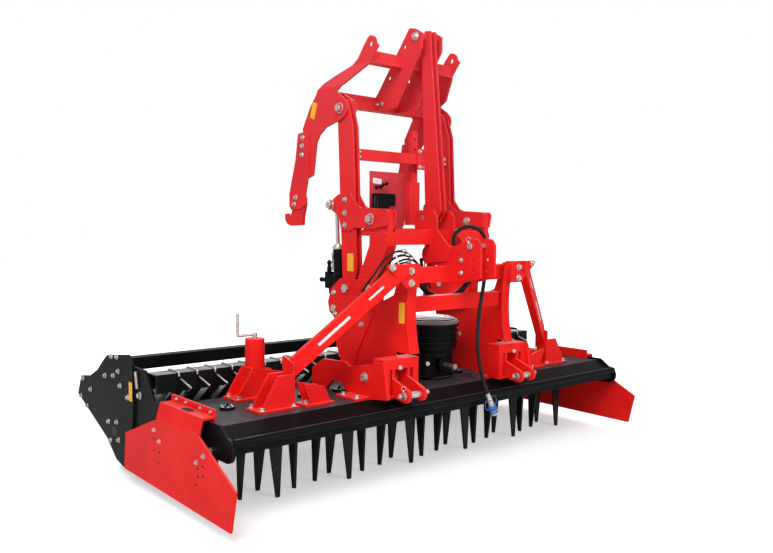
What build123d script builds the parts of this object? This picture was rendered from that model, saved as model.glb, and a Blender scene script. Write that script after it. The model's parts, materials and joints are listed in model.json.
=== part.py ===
"""Vertical rotary tiller (power harrow) with a hydraulic lift tower and a packer roller.

Millimetres. +X to the machine's left-to-right working width, +Y to the rear, +Z up, and the
ground at Z = 0. Inside the file every fore-and-aft place is counted from the rotor row, and
the three plane helpers below shift it so that the whole machine is centred on the origin.
"""
from build123d import *
import math
import os

os.makedirs("parts", exist_ok=True)

# Driving dimensions
rotor_count = 12
rotor_pitch = 250.0
front_reach = 610.0
rear_reach = 1550.0
half_width = 1660.0
beam_height = 1000.0
running_gap = 5.0
seat_gap = 0.3
overrun = 10.0

# Gear trough
trough_half = 1585.0
trough_floor = 400.0
trough_top = 515.0
trough_rear = 275.0
trough_shoulder = 306.0
trough_nose = 440.0
nose_height = 455.0
nose_bar_radius = 22.0
end_plate_thickness = 15.0
end_plate_drop = 45.0
end_nose_radius = 60.0

# Rotors
cap_radius = 42.0
cap_height = 14.0
housing_radius = 72.0
housing_height = 22.0
hub_radius = 52.0
hub_top = trough_floor - housing_height - seat_gap
hub_height = 42.0
holder_thickness = 26.0
holder_half_width = 46.0
tine_radius = 82.0
tine_thickness = 16.0
tine_top_width = 84.0
tine_tip_width = 22.0
tine_sweep = 14.0

# Gearbox and drive shaft
gearbox_x = rotor_pitch / 2
gearbox_radius = 138.0
gearbox_neck_radius = 104.0
gearbox_neck_top = 655.0
gearbox_top = 905.0
fin_radius = 156.0
fin_thickness = 14.0
fin_pitch = 52.0
fin_count = 4
lid_radius = 162.0
lid_thickness = 16.0
shaft_height = 610.0
shaft_radius = 17.5
shaft_journal_radius = 15.0
shaft_collar_radius = 45.0
shaft_length = 95.0
shaft_socket = 30.0
shaft_play = 0.08

# Headstock
leg_outer = 445.0
plate = 12.0
flange_width = 70.0
lower_beam_bottom = beam_height
lower_beam_top = 1088.0
upper_beam_bottom = 1168.0
upper_beam_top = 1262.0
beam_front = 385.0
beam_depth = 80.0
beam_wall = 8.0

brace_seat = 436.0
brace_plate = 16.0
brace_end = 500.0
brace_top = 1286.0

# Hitch points
lower_pin_half_spacing = 482.5
lower_pin_y = -500.0
lower_pin_z = 556.0
lower_pin_radius = 18.25
lower_ear_gap = 95.0
lower_ear_thickness = 20.0
lower_pin_shoulder = 2.5
upper_pin_y = -532.0
upper_pin_z = 1385.0
upper_pin_radius = 15.9
upper_ear_inner = 52.0
upper_ear_thickness = 16.0
upper_pin_shoulder = 3.0
hitch_box_half_width = 128.0
hitch_box_front = 400.0
hitch_box_depth = 100.0
hitch_box_top = 748.0
hitch_box_wall = 16.0
hitch_side_outer = 632.0

# Lift linkage: columns swing about the foot pins, arms stay level on the column heads
foot_pin_y = 160.0
foot_pin_z = 1112.0
link_run = 58.0
link_rise = 1118.0
head_pin_y = foot_pin_y + link_run
head_pin_z = foot_pin_z + link_rise
top_link_y = -125.0
top_link_z = 1558.0
bracket_pin_y = top_link_y + link_run
bracket_pin_z = top_link_z + link_rise
column_outer = 440.0
column_width = 48.0
column_depth = 115.0
column_lead = 35.0
column_inner = column_outer - column_width
crossbar_low = 1914.0
crossbar_high = 1980.0
crossbar_depth = 60.0
pin_radius = 16.0
big_pin_radius = 21.0
pin_head = 14.0
head_overhang = 8.0
side_count = 6
pin_play = 0.3

# Lift cylinders
cylinder_x = 410.0
cylinder_foot_y = 277.0
cylinder_foot_z = 980.0
cylinder_eye_y = 316.0
cylinder_eye_z = 1633.0
barrel_radius = 33.0
rod_radius = 12.5
barrel_length = 380.0
cylinder_eye_radius = 28.0
cylinder_eye_width = 26.0
barrel_start = 20.0
rod_start = 230.0
valve_start = 90.0
valve_length = 120.0
valve_width = 46.0
valve_depth = 70.0
base_inner = 358.0

# Centre link, its bracket and the stop strut
link_plate_inner = 14.0
link_plate_thickness = 12.0
link_depth = 130.0
link_top_depth = 105.0
link_front_shift = 42.0
bracket_inner = 78.0
strut_left = 112.0
strut_width = 90.0
strut_bar_width = 46.0
strut_depth = 50.0

# Roller
roller_y = 930.0
roller_radius = 248.0
drum_radius = 205.0
roller_half = 1530.0
roller_stub_radius = 30.0
tooth_rings = 25
ring_pitch = 120.0
tooth_root, tooth_back, tooth_front, tooth_foot = 34.0, 12.0, 14.0, 18.0
ring_thickness = 14.0
tooth_count = 8
roller_plate_inner = 1612.0
roller_plate_thickness = 14.0

# Front hose
hose_radius = 12.0
hose_sides = 8
hose_nut_radius = 21.0
hose_start = (0, -330, 1288)
hose_points = [
    hose_start,
    (0, -330, 1376),
    (-4, -326, 1462),
    (53, -408, 1516),
    (106, -486, 1462),
    (108, -492, 1340),
    (103, -494, 1250),
    (92, -494, 1150),
    (66, -494, 1045),
    (48, -495, 940),
    (41, -496, 835),
    (47, -498, 730),
    (68, -502, 625),
    (105, -505, 528),
    (150, -505, 440),
]
coupler_radius = 17.0
coupler_length = 72.0
cap_cup_radius = 23.0
cap_cup_length = 34.0

# Side deflectors
deflector_thickness = 12.0
deflector_inner = half_width - deflector_thickness
deflector_edge_inset = 25.0
deflector_edge_top = 580.0
deflector_bend_low = 462.0
deflector_bend_high = 545.0

rotor_line = (front_reach - rear_reach) / 2


def side(x):
    """A plane across the machine at x: its own axes are rearward and up."""
    return Plane(origin=(x, rotor_line, 0), x_dir=(0, 1, 0), z_dir=(1, 0, 0))


def front(y):
    """A plane facing forward at y: its own axes are x and up."""
    return Plane(origin=(0, rotor_line + y, 0), x_dir=(1, 0, 0), z_dir=(0, -1, 0))


def level(z):
    """A level plane at height z: its own axes are x and rearward."""
    return Plane(origin=(0, rotor_line, z))


def placed(shares):
    """Outline points from shares of the lower beam's height, counted from the rotor row."""
    return [(y * beam_height, z * beam_height) for y, z in shares]


def save(name, part):
    """Labels a finished sub-part and writes it as one STEP file."""
    part.label = name
    export_step(part, f"parts/{name}.step")


def side_plate(outline, inner, thickness, sign, holes=(), corner=0.0):
    """A flat plate across the machine, mirrored by sign. Holes are rows of y, z, radius."""
    with BuildPart() as made:
        with BuildSketch(side(sign * inner)) as face:
            with BuildLine():
                Polyline(*outline, close=True)
            make_face()
            if corner:
                fillet(face.vertices(), corner)
            for y, z, radius in holes:
                with Locations((y, z)):
                    Circle(radius, mode=Mode.SUBTRACT)
        extrude(amount=sign * thickness)
    return made.part


def lug(ends, inner, thickness, sign, holes=()):
    """A plate with round ends, from rows of y, z, radius."""
    with BuildPart() as made:
        with BuildSketch(side(sign * inner)):
            for y, z, radius in ends:
                with Locations((y, z)):
                    Circle(radius)
            make_hull()
            for y, z, radius in holes:
                with Locations((y, z)):
                    Circle(radius, mode=Mode.SUBTRACT)
        extrude(amount=sign * thickness)
    return made.part


def cross_pin(y, z, radius, start, length, sign=1):
    """A round pin along the machine's width."""
    with BuildPart() as made:
        with BuildSketch(side(sign * start)):
            with Locations((y, z)):
                Circle(radius)
        extrude(amount=sign * length)
    return made.part


def hex_head(y, z, radius, start, sign):
    """A six-sided head at the end of a pin."""
    with BuildPart() as made:
        with BuildSketch(side(sign * start)):
            with Locations((y, z)):
                RegularPolygon(radius, side_count)
        extrude(amount=sign * pin_head)
    return made.part


def cross_bar(y_low, y_high, z_low, z_high, half, wall=0.0):
    """A square bar, or a tube where it has a wall, across the machine's middle."""
    with BuildPart() as made:
        with BuildSketch(side(-half)):
            with Locations(((y_low + y_high) / 2, (z_low + z_high) / 2)):
                Rectangle(y_high - y_low, z_high - z_low)
                if wall:
                    Rectangle(y_high - y_low - 2 * wall, z_high - z_low - 2 * wall, mode=Mode.SUBTRACT)
        extrude(amount=2 * half)
    return made.part


# Gear trough: closed box with a sloping front and a round nose bar
with BuildPart() as trough:
    with BuildSketch(side(-trough_half)):
        with BuildLine():
            Polyline(
                (-trough_nose, trough_floor),
                (trough_rear, trough_floor),
                (trough_rear, trough_top),
                (-trough_shoulder, trough_top),
                (-trough_nose, nose_height - nose_bar_radius / 2),
                close=True,
            )
        make_face()
        with Locations((-trough_nose, nose_height)):
            Circle(nose_bar_radius)
    extrude(amount=2 * trough_half)
save("trough", trough.part)

# Plates that close the trough's ends, with a round nose
with BuildPart() as trough_ends:
    for sign in (-1, 1):
        with BuildSketch(side(sign * trough_half)):
            nose_y = -trough_nose - nose_bar_radius + end_nose_radius
            nose_z = nose_height + nose_bar_radius - end_nose_radius
            with BuildLine():
                Polyline(
                    (nose_y, nose_height + nose_bar_radius),
                    (-trough_shoulder - nose_bar_radius, trough_top + plate),
                    (trough_rear, trough_top + plate),
                    (trough_rear, trough_floor - end_plate_drop),
                    (nose_y, trough_floor - end_plate_drop),
                    close=True,
                )
            make_face()
            with Locations((nose_y, nose_z)):
                Circle(end_nose_radius)
        extrude(amount=sign * end_plate_thickness)
save("trough_ends", trough_ends.part)

rotor_places = [(i - (rotor_count - 1) / 2) * rotor_pitch for i in range(rotor_count)]

# Bearing covers on top, one over each rotor that the gearbox leaves free
with BuildPart() as bearing_caps:
    with BuildSketch(level(trough_top)):
        for x in rotor_places:
            if abs(x - gearbox_x) > rotor_pitch / 4:
                with Locations((x, 0)):
                    Circle(cap_radius)
    extrude(amount=cap_height)
save("bearing_caps", bearing_caps.part)

# Bearing housings below the trough
with BuildPart() as bearing_housings:
    with BuildSketch(level(trough_floor)):
        for x in rotor_places:
            with Locations((x, 0)):
                Circle(housing_radius)
    extrude(amount=-housing_height)
save("bearing_housings", bearing_housings.part)

# Rotors: a hub, a holder bar and two tapering tines, set a quarter turn apart
for number, x in enumerate(rotor_places, start=1):
    turned = number % 2 == 0
    with BuildPart() as rotor:
        with BuildSketch(level(hub_top)):
            with Locations((x, 0)):
                Circle(hub_radius)
        extrude(amount=-hub_height)
        with BuildSketch(level(hub_top - hub_height)):
            with Locations((x, 0)):
                reach = 2 * (tine_radius + tine_thickness / 2)
                width = 2 * holder_half_width
                Rectangle(width if turned else reach, reach if turned else width)
        extrude(amount=-holder_thickness)
        holder_low = hub_top - hub_height - holder_thickness
        for way in (-1, 1):
            if turned:
                blade_plane = Plane(
                    origin=(x, rotor_line + way * tine_radius, 0), x_dir=(-way, 0, 0), z_dir=(0, way, 0)
                )
            else:
                blade_plane = Plane(
                    origin=(x + way * tine_radius, rotor_line, 0), x_dir=(0, way, 0), z_dir=(way, 0, 0)
                )
            with BuildSketch(blade_plane):
                with BuildLine():
                    Polyline(
                        (-tine_top_width / 2, holder_low),
                        (tine_top_width / 2, holder_low),
                        (tine_tip_width / 2 + tine_sweep, 0),
                        (-tine_tip_width / 2 + tine_sweep, 0),
                        close=True,
                    )
                make_face()
            extrude(amount=tine_thickness / 2, both=True)
    save(f"rotor_{number:02d}", rotor.part)

# Gearbox: necked housing with cooling fins and a flat lid
with BuildPart() as gearbox:
    with BuildSketch(level(trough_top)):
        with Locations((gearbox_x, 0)):
            Circle(gearbox_radius)
    extrude(amount=plate)
    with BuildSketch(level(trough_top)):
        with Locations((gearbox_x, 0)):
            Circle(gearbox_neck_radius)
    extrude(amount=gearbox_neck_top - trough_top)
    with BuildSketch(level(gearbox_neck_top)):
        with Locations((gearbox_x, 0)):
            Circle(gearbox_radius)
    extrude(amount=gearbox_top - gearbox_neck_top)
    for row in range(fin_count):
        with BuildSketch(level(gearbox_neck_top + plate + row * fin_pitch)):
            with Locations((gearbox_x, 0)):
                Circle(fin_radius)
        extrude(amount=fin_thickness)
    with BuildSketch(level(gearbox_top)):
        with Locations((gearbox_x, 0)):
            Circle(lid_radius)
    extrude(amount=-lid_thickness)
    with BuildSketch(front(0)):
        with Locations((gearbox_x, shaft_height)):
            Circle(shaft_collar_radius)
    extrude(amount=gearbox_neck_radius + shaft_socket)
    with BuildSketch(front(-gearbox_neck_radius)):
        with Locations((gearbox_x, shaft_height)):
            Circle(shaft_journal_radius + shaft_play)
    extrude(amount=shaft_socket + overrun, mode=Mode.SUBTRACT)
save("gearbox", gearbox.part)

# Drive shaft stub, turned by the tractor
with BuildPart() as input_shaft:
    with BuildSketch(front(-gearbox_neck_radius - seat_gap)):
        with Locations((gearbox_x, shaft_height)):
            Circle(shaft_journal_radius)
    extrude(amount=shaft_socket + running_gap - seat_gap)
    with BuildSketch(front(-gearbox_neck_radius - shaft_socket - running_gap)):
        with Locations((gearbox_x, shaft_height)):
            Circle(shaft_radius)
    extrude(amount=shaft_length)
save("input_shaft", input_shaft.part)

# Headstock legs: flat plates with a hollow-curved front edge and an inward flange
leg_front = placed([(-0.428, 0.770), (-0.398, 0.960), (-0.434, 1.286)])
leg_rear = placed([(-0.345, 1.274), (-0.280, 1.100), (-0.050, 1.000), (0.085, 0.770)])
leg_base = trough_top + cap_height + running_gap
leg_base_front, leg_base_rear = -300.0, 105.0
leg_pad_middle, leg_pad_length = -178.0, 90.0
tab_depth, tab_width, tab_low = 3 * plate, 44.0, 1150.0
for name, sign in (("left", -1), ("right", 1)):
    with BuildPart() as headstock:
        with BuildSketch(side(sign * (leg_outer - plate))):
            with BuildLine():
                ThreePointArc(*leg_front)
                Polyline(
                    leg_front[-1], *leg_rear, (leg_base_rear, leg_base), (leg_base_front, leg_base),
                    (leg_base_front, leg_front[0][1]), leg_front[0],
                )
            make_face()
        extrude(amount=sign * plate)
        with BuildSketch(side(sign * (leg_outer - flange_width))):
            inner_front = [(y + plate, z) for y, z in leg_front]
            with BuildLine():
                ThreePointArc(*leg_front)
                Line(leg_front[-1], inner_front[-1])
                ThreePointArc(*reversed(inner_front))
                Line(inner_front[0], leg_front[0])
            make_face()
        extrude(amount=sign * (flange_width - plate))
        with BuildSketch(level(leg_base)):
            with Locations((sign * (leg_outer - plate / 2), leg_pad_middle)):
                Rectangle(plate, leg_pad_length)
        extrude(amount=trough_top - leg_base)
        with BuildSketch(front(-brace_seat)):
            with Locations((sign * (leg_outer - tab_width / 2), (tab_low + brace_top) / 2)):
                Rectangle(tab_width, brace_top - tab_low)
        extrude(amount=-tab_depth)
    save(f"headstock_{name}", headstock.part)

# Two square tubes that join the legs
with BuildPart() as headstock_beams:
    inner_half = leg_outer - plate
    for low, high in ((lower_beam_bottom, lower_beam_top), (upper_beam_bottom, upper_beam_top)):
        beam_start = -beam_front + plate
        add(cross_bar(beam_start, beam_start + beam_depth, low, high, inner_half, beam_wall))
    with BuildSketch(level(upper_beam_top)):
        with Locations((hose_start[0], hose_start[1])):
            RegularPolygon(hose_nut_radius, side_count)
    extrude(amount=hose_start[2] - upper_beam_top)
save("headstock_beams", headstock_beams.part)

# Upper hitch: two plates round the top link's pin, with a round lobe behind
hitch_shares = [
    (-0.480, 1.168), (-0.373, 1.168), (-0.373, 1.262), (-0.205, 1.262), (-0.205, 1.388),
    (-0.300, 1.385), (-0.405, 1.383), (-0.459, 1.400), (-0.539, 1.432), (-0.585, 1.424),
]
hitch_front_high, hitch_front_low = 1390.0, 1199.0
lobe_y, lobe_z, lobe_radius, lobe_hole = -178.0, 1326.0, 62.0, 18.0
spare_holes = placed([(-0.552, 1.305), (-0.549, 1.240), (-0.430, 1.330)])
spare_hole_radius = 10.0
hitch_holes = [(upper_pin_y, upper_pin_z, upper_pin_radius - upper_pin_shoulder + pin_play)]
hitch_holes += [(lobe_y, lobe_z, lobe_hole)]
hitch_holes += [(y, z, spare_hole_radius) for y, z in spare_holes]
with BuildPart() as top_hitch:
    for sign in (-1, 1):
        with BuildPart(mode=Mode.PRIVATE) as hitch_plate:
            with BuildSketch(side(sign * upper_ear_inner)):
                with BuildLine():
                    Polyline(
                        (-front_reach, hitch_front_high), (-front_reach, hitch_front_low),
                        *placed(hitch_shares), close=True,
                    )
                make_face()
                with Locations((lobe_y, lobe_z)):
                    Circle(lobe_radius)
                for y, z, radius in hitch_holes:
                    with Locations((y, z)):
                        Circle(radius, mode=Mode.SUBTRACT)
            extrude(amount=sign * upper_ear_thickness)
        add(hitch_plate.part)
save("top_hitch", top_hitch.part)

# Lower hitch brackets: box frame with a window, two ears, an arched side plate and a foot
hitch_middle = lower_pin_half_spacing
ear_inner = lower_ear_gap / 2
lower_bore = lower_pin_radius - lower_pin_shoulder + pin_play
window_low, window_high = 540.0, 690.0
ear_low, ear_high = 535.0, 695.0
ear_radius, ear_root_radius = 40.0, 28.0
ear_root_y, ear_root_step = -370.0, 50.0
hitch_foot_depth, hitch_foot_width, hitch_foot_length, hitch_foot_y = 80.0, 100.0, 190.0, -200.0
side_shares = [
    (-0.448, 0.534), (-0.410, 0.740), (-0.105, 0.676), (-0.060, 0.700), (0.158, 0.688), (0.270, 0.622),
]
arch_front, arch_rear, arch_height = -90.0, 120.0, 570.0
side_plate_thickness = 22.0
side_hole_y, side_hole_z = -251.0, 634.0
for name, sign in (("left", -1), ("right", 1)):
    with BuildPart() as lower_hitch:
        with BuildSketch(front(-hitch_box_front)):
            with Locations((sign * hitch_middle, (trough_top + plate + hitch_box_top) / 2)):
                Rectangle(2 * hitch_box_half_width, hitch_box_top - trough_top - plate)
            with Locations((sign * hitch_middle, (window_low + window_high) / 2)):
                Rectangle(2 * hitch_box_half_width - 5 * hitch_box_wall, window_high - window_low,
                          mode=Mode.SUBTRACT)
        extrude(amount=-hitch_box_depth)
        with BuildSketch(level(trough_top)):
            with Locations((sign * hitch_middle, -trough_shoulder + hitch_foot_depth / 2)):
                Rectangle(2 * hitch_box_half_width, hitch_foot_depth)
            with Locations((sign * (hitch_side_outer + hitch_foot_width / 2), hitch_foot_y)):
                Rectangle(hitch_foot_width, hitch_foot_length)
        extrude(amount=plate)
        with BuildSketch(side(sign * (hitch_side_outer - side_plate_thickness))):
            arch_slope = arch_height - trough_top
            with BuildLine():
                Polyline(
                    *placed(side_shares),
                    (side_shares[-1][0] * beam_height, trough_top),
                    (arch_rear, trough_top),
                    (arch_rear - arch_slope, arch_height),
                    (arch_front + arch_slope, arch_height),
                    (arch_front, trough_top),
                    (-trough_shoulder, trough_top),
                    close=True,
                )
            make_face()
            with Locations((side_hole_y, side_hole_z)):
                Circle(pin_radius, mode=Mode.SUBTRACT)
        extrude(amount=sign * side_plate_thickness)
        for way in (-1, 1):
            start = sign * hitch_middle + way * ear_inner
            with BuildSketch(side(start)):
                with Locations((lower_pin_y, lower_pin_z)):
                    Circle(ear_radius)
                for step in (0, 1):
                    with Locations((ear_root_y, lower_pin_z + plate + step * ear_root_step)):
                        Circle(ear_root_radius)
                make_hull()
                with Locations((lower_pin_y, lower_pin_z)):
                    Circle(lower_bore, mode=Mode.SUBTRACT)
            extrude(amount=way * lower_ear_thickness)
            with BuildSketch(front(-hitch_box_front + running_gap)):
                with Locations((start + way * lower_ear_thickness / 2, (ear_low + ear_high) / 2)):
                    Rectangle(lower_ear_thickness, ear_high - ear_low)
            extrude(amount=-hitch_box_depth + overrun)
    save(f"lower_hitch_{name}", lower_hitch.part)


def stepped_pin(middle, y, z, radius, shoulder, gap, ear):
    """A hitch pin: full size between two ears, stepped down through them, with six-sided heads."""
    free = gap / 2 - pin_play
    end = gap / 2 + ear + pin_play
    with BuildPart() as made:
        add(cross_pin(y, z, radius, middle - free, 2 * free))
        add(cross_pin(y, z, radius - shoulder, middle - end, 2 * end))
        for start in (middle - end - pin_head, middle + end):
            add(hex_head(y, z, radius + 2 * shoulder, start, 1))
    return made.part


# Hitch pins: two below and one for the top link
with BuildPart() as hitch_pins:
    for sign in (-1, 1):
        add(stepped_pin(sign * hitch_middle, lower_pin_y, lower_pin_z, lower_pin_radius,
                        lower_pin_shoulder, lower_ear_gap, lower_ear_thickness))
    add(stepped_pin(0, upper_pin_y, upper_pin_z, upper_pin_radius,
                    upper_pin_shoulder, 2 * upper_ear_inner, upper_ear_thickness))
save("hitch_pins", hitch_pins.part)

# Diagonal braces from feet near the trough's ends up to the headstock, each with its end plate
brace_cut = 1085.0
brace_width = 50.0
brace_height = 88.0
brace_lead = 20.0
brace_start_y, brace_start_z = -155.0, 700.0
brace_finish_y, brace_finish_z = -440.0, 1262.0
brace_low = Vector(brace_cut + brace_lead, rotor_line + brace_start_y, brace_start_z)
brace_high = Vector(brace_end + brace_lead, rotor_line + brace_finish_y, brace_finish_z)
end_plate_shares = [
    (0.401, 1.150), (0.401, 1.262), (0.420, 1.286), (0.625, 1.286), (0.636, 1.268), (0.560, 1.205),
    (0.500, 1.150),
]
for name, sign in (("left", -1), ("right", 1)):
    low = Vector(sign * brace_low.X, brace_low.Y, brace_low.Z)
    high = Vector(sign * brace_high.X, brace_high.Y, brace_high.Z)
    along = (high - low).normalized()
    across = Vector(0, 0, 1).cross(along).normalized()
    with BuildPart() as brace:
        with BuildSketch(Plane(origin=low - along * 2 * brace_height, x_dir=across, z_dir=along)):
            Rectangle(brace_width, brace_height)
        extrude(amount=(high - low).length + 5 * brace_height)
        split(bisect_by=Plane(origin=(sign * brace_cut, 0, 0), z_dir=(-sign, 0, 0)), keep=Keep.TOP)
        split(bisect_by=Plane(origin=(sign * brace_end, 0, 0), z_dir=(sign, 0, 0)), keep=Keep.TOP)
        split(bisect_by=Plane(origin=(0, 0, brace_top), z_dir=(0, 0, -1)), keep=Keep.TOP)
        with BuildSketch(front(-brace_seat - brace_plate)):
            with BuildLine():
                Polyline(*[(sign * x, z) for x, z in placed(end_plate_shares)], close=True)
            make_face()
        extrude(amount=-brace_plate)
    save(f"brace_{name}", brace.part)

# Feet of the braces, with the small twin-plate brackets beside them
foot_low = trough_top + plate
foot_plate_length, foot_plate_width = 250.0, 140.0
side_foot_length, side_foot_width = 190.0, 110.0
foot_run, foot_shelf = 210.0, 107.0
foot_walls = (-207.0, -115.0)
foot_end = [(-0.213, 0.527), (-0.213, 0.760), (-0.109, 0.790), (-0.109, 0.527)]
bracket_middle, bracket_y = 940.0, -190.0
bracket_walls = (-225.0, -155.0)
bracket_shares = [(-0.080, 0.527), (0.050, 0.527), (0.100, 0.645), (-0.040, 0.615)]
with BuildPart() as brace_feet:
    for sign in (-1, 1):
        with BuildSketch(level(trough_top)):
            with Locations((sign * (brace_cut + foot_run / 2), brace_start_y)):
                Rectangle(foot_plate_length, foot_plate_width)
            with Locations((sign * bracket_middle, bracket_y)):
                Rectangle(side_foot_length, side_foot_width)
        extrude(amount=plate)
        for y in foot_walls:
            with BuildSketch(front(y)):
                with BuildLine():
                    Polyline(
                        (sign * brace_cut, foot_low),
                        (sign * (brace_cut + foot_run), foot_low),
                        (sign * (brace_cut + foot_shelf), brace_start_z),
                        (sign * brace_cut, brace_start_z),
                        close=True,
                    )
                make_face()
            extrude(amount=plate / 2, both=True)
        with BuildSketch(side(sign * brace_cut)):
            with BuildLine():
                Polyline(*placed(foot_end), close=True)
            make_face()
        extrude(amount=sign * plate)
        for y in bracket_walls:
            with BuildSketch(front(y)):
                with BuildLine():
                    Polyline(
                        *[(sign * (bracket_middle + x), z) for x, z in placed(bracket_shares)],
                        close=True,
                    )
                make_face()
            extrude(amount=plate / 2, both=True)
save("brace_feet", brace_feet.part)

# Lift bases: two plates round the column and cylinder feet, the strut between and its stop ear
stop_y, stop_z = -78.0, 1541.0
saddle = big_pin_radius + pin_play
saddle_angles = (117, 207, 297)
saddle_arc = [
    (stop_y + saddle * math.cos(math.radians(a)), stop_z + saddle * math.sin(math.radians(a)))
    for a in saddle_angles
]
foot_bore = big_pin_radius + pin_play
cylinder_bore = pin_radius + pin_play
foot_holes = [
    (foot_pin_y, foot_pin_z, foot_bore),
    (cylinder_foot_y, cylinder_foot_z, cylinder_bore),
]
outer_base_shares = [
    (-0.120, 1.172), (0.216, 1.172), (0.308, 1.108), (0.345, 1.017), (0.330, 0.955), (0.280, 0.920),
    (0.254, 0.748), (0.202, 0.643), (0.190, 0.515), (0.060, 0.515), (0.067, 0.645), (0.035, 0.742),
    (-0.105, 0.970),
]
inner_base_shares = [
    (-0.090, 1.172), (0.216, 1.172), (0.308, 1.108), (0.330, 0.955), (0.240, 0.928), (-0.060, 1.000),
]
box_shares = [
    (-0.100, 1.026), (0.064, 1.012), (0.056, 1.170), (-0.056, 1.383), (-0.056, 1.462), (-0.218, 1.462),
    (-0.215, 1.383), (-0.126, 1.175),
]
saddle_shares = [(-0.110, 1.598), (-0.218, 1.592), (-0.218, 1.440), (0.034, 1.440), (0.034, 1.474)]
for name, sign in (("left", -1), ("right", 1)):
    with BuildPart() as lift_base:
        add(side_plate(placed(outer_base_shares), leg_outer, plate, sign, foot_holes))
        add(side_plate(placed(inner_base_shares), base_inner, plate, sign, foot_holes))
        add(side_plate(placed(box_shares), base_inner + plate, leg_outer - base_inner - plate, sign))
        with BuildSketch(side(sign * (column_inner + running_gap))):
            with BuildLine():
                Polyline(saddle_arc[0], *placed(saddle_shares), saddle_arc[2])
                ThreePointArc(*saddle_arc)
            make_face()
        extrude(amount=sign * (column_width - 2 * running_gap))
    save(f"lift_base_{name}", lift_base.part)

# Fixed crossbeam with the centre lugs that carry the centre link
lug_inner = upper_ear_inner + upper_ear_thickness
beam_front_y, beam_rear_y, beam_low_z, beam_high_z = -205.0, -105.0, 1388.0, 1480.0
lug_shares = [
    (-0.060, 1.430), (-0.060, 1.565), (-0.085, 1.602), (-0.222, 1.602), (-0.258, 1.560), (-0.260, 1.480),
    (-0.375, 1.368), (-0.345, 1.290), (-0.185, 1.275), (-0.150, 1.388),
]
with BuildPart() as lift_crossbeam:
    add(cross_bar(beam_front_y, beam_rear_y, beam_low_z, beam_high_z, base_inner + plate, beam_wall))
    for sign in (-1, 1):
        add(side_plate(placed(lug_shares), lug_inner, plate, sign, [(top_link_y, top_link_z, cylinder_bore)]))
save("lift_crossbeam", lift_crossbeam.part)


def headed_pin(y, z, radius, start, length, sign):
    """A pin with a six-sided head at its outer end."""
    with BuildPart() as made:
        add(cross_pin(y, z, radius, start, length, sign))
        add(hex_head(y, z, radius + head_overhang, start + length, sign))
    return made.part


# Fixed pins of the lift: column feet, cylinder feet and the centre link's foot
with BuildPart() as lift_pins:
    for sign in (-1, 1):
        reach = leg_outer + plate + pin_play - base_inner
        add(headed_pin(foot_pin_y, foot_pin_z, big_pin_radius, base_inner, reach, sign))
        add(headed_pin(cylinder_foot_y, cylinder_foot_z, pin_radius, base_inner, reach, sign))
    add(cross_pin(top_link_y, top_link_z, pin_radius, -lug_inner - plate, 2 * (lug_inner + plate)))
save("lift_pins", lift_pins.part)

# Swinging columns: two plates and a rear web, with the head pin fixed in them
foot_boss, head_boss = 50.0, 55.0
column_half = column_depth / 2
column_taper = 0.12
column_low = (foot_pin_y - column_lead + column_taper * link_run, foot_pin_z + column_taper * link_rise)
column_high = (head_pin_y - column_lead - column_taper * link_run, head_pin_z - column_taper * link_rise)
column_ends = [
    (foot_pin_y, foot_pin_z, foot_boss), (*column_low, column_half),
    (*column_high, column_half), (head_pin_y, head_pin_z, head_boss),
]
web = [
    (column_low[0] + column_half, column_low[1]),
    (column_high[0] + column_half, column_high[1]),
    (column_high[0] + column_half - plate, column_high[1]),
    (column_low[0] + column_half - plate, column_low[1]),
]
for name, sign in (("left", -1), ("right", 1)):
    with BuildPart() as column:
        for inner in (column_inner, column_outer - plate):
            add(lug(column_ends, inner, plate, sign, [(foot_pin_y, foot_pin_z, foot_bore)]))
        add(side_plate(web, column_inner + plate / 2, column_width - plate, sign))
        add(headed_pin(head_pin_y, head_pin_z, big_pin_radius, column_inner - 2 * plate,
                       column_width + 4 * plate, sign))
    save(f"column_{name}", column.part)

# Crossbar between the columns
crossbar_share = ((crossbar_low + crossbar_high) / 2 - foot_pin_z) / link_rise
crossbar_y = foot_pin_y - column_lead + link_run * crossbar_share
crossbar_rear = crossbar_y + crossbar_depth / 2
with BuildPart() as column_crossbar:
    add(cross_bar(crossbar_y - crossbar_depth / 2, crossbar_rear, crossbar_low, crossbar_high,
                  column_inner, beam_wall))
save("column_crossbar", column_crossbar.part)

# Bell plates bolted on the columns: they carry the cylinder's eye behind and the stop pin in front
bell_shares = [
    (0.318, 1.660), (0.250, 1.696), (0.203, 1.702), (0.122, 1.702), (0.060, 1.625), (0.016, 1.610),
    (-0.215, 1.597), (-0.230, 1.580), (-0.216, 1.500), (-0.090, 1.482), (0.080, 1.490), (0.125, 1.470),
    (0.215, 1.474), (0.240, 1.560), (0.318, 1.604),
]
eye_boss_radius = 34.0
for name, sign in (("left", -1), ("right", 1)):
    with BuildPart() as bell_plates:
        for inner in (column_inner - plate, column_outer):
            add(side_plate(placed(bell_shares), inner, plate, sign, [(stop_y, stop_z, big_pin_radius)]))
            add(cross_pin(cylinder_eye_y, cylinder_eye_z, eye_boss_radius, inner, plate, sign))
        add(headed_pin(stop_y, stop_z, big_pin_radius, column_inner - plate, column_width + 2 * plate, sign))
        eye_head = big_pin_radius + head_overhang
        add(hex_head(cylinder_eye_y, cylinder_eye_z, eye_head, column_outer + plate, sign))
    save(f"bell_plates_{name}", bell_plates.part)

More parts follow.
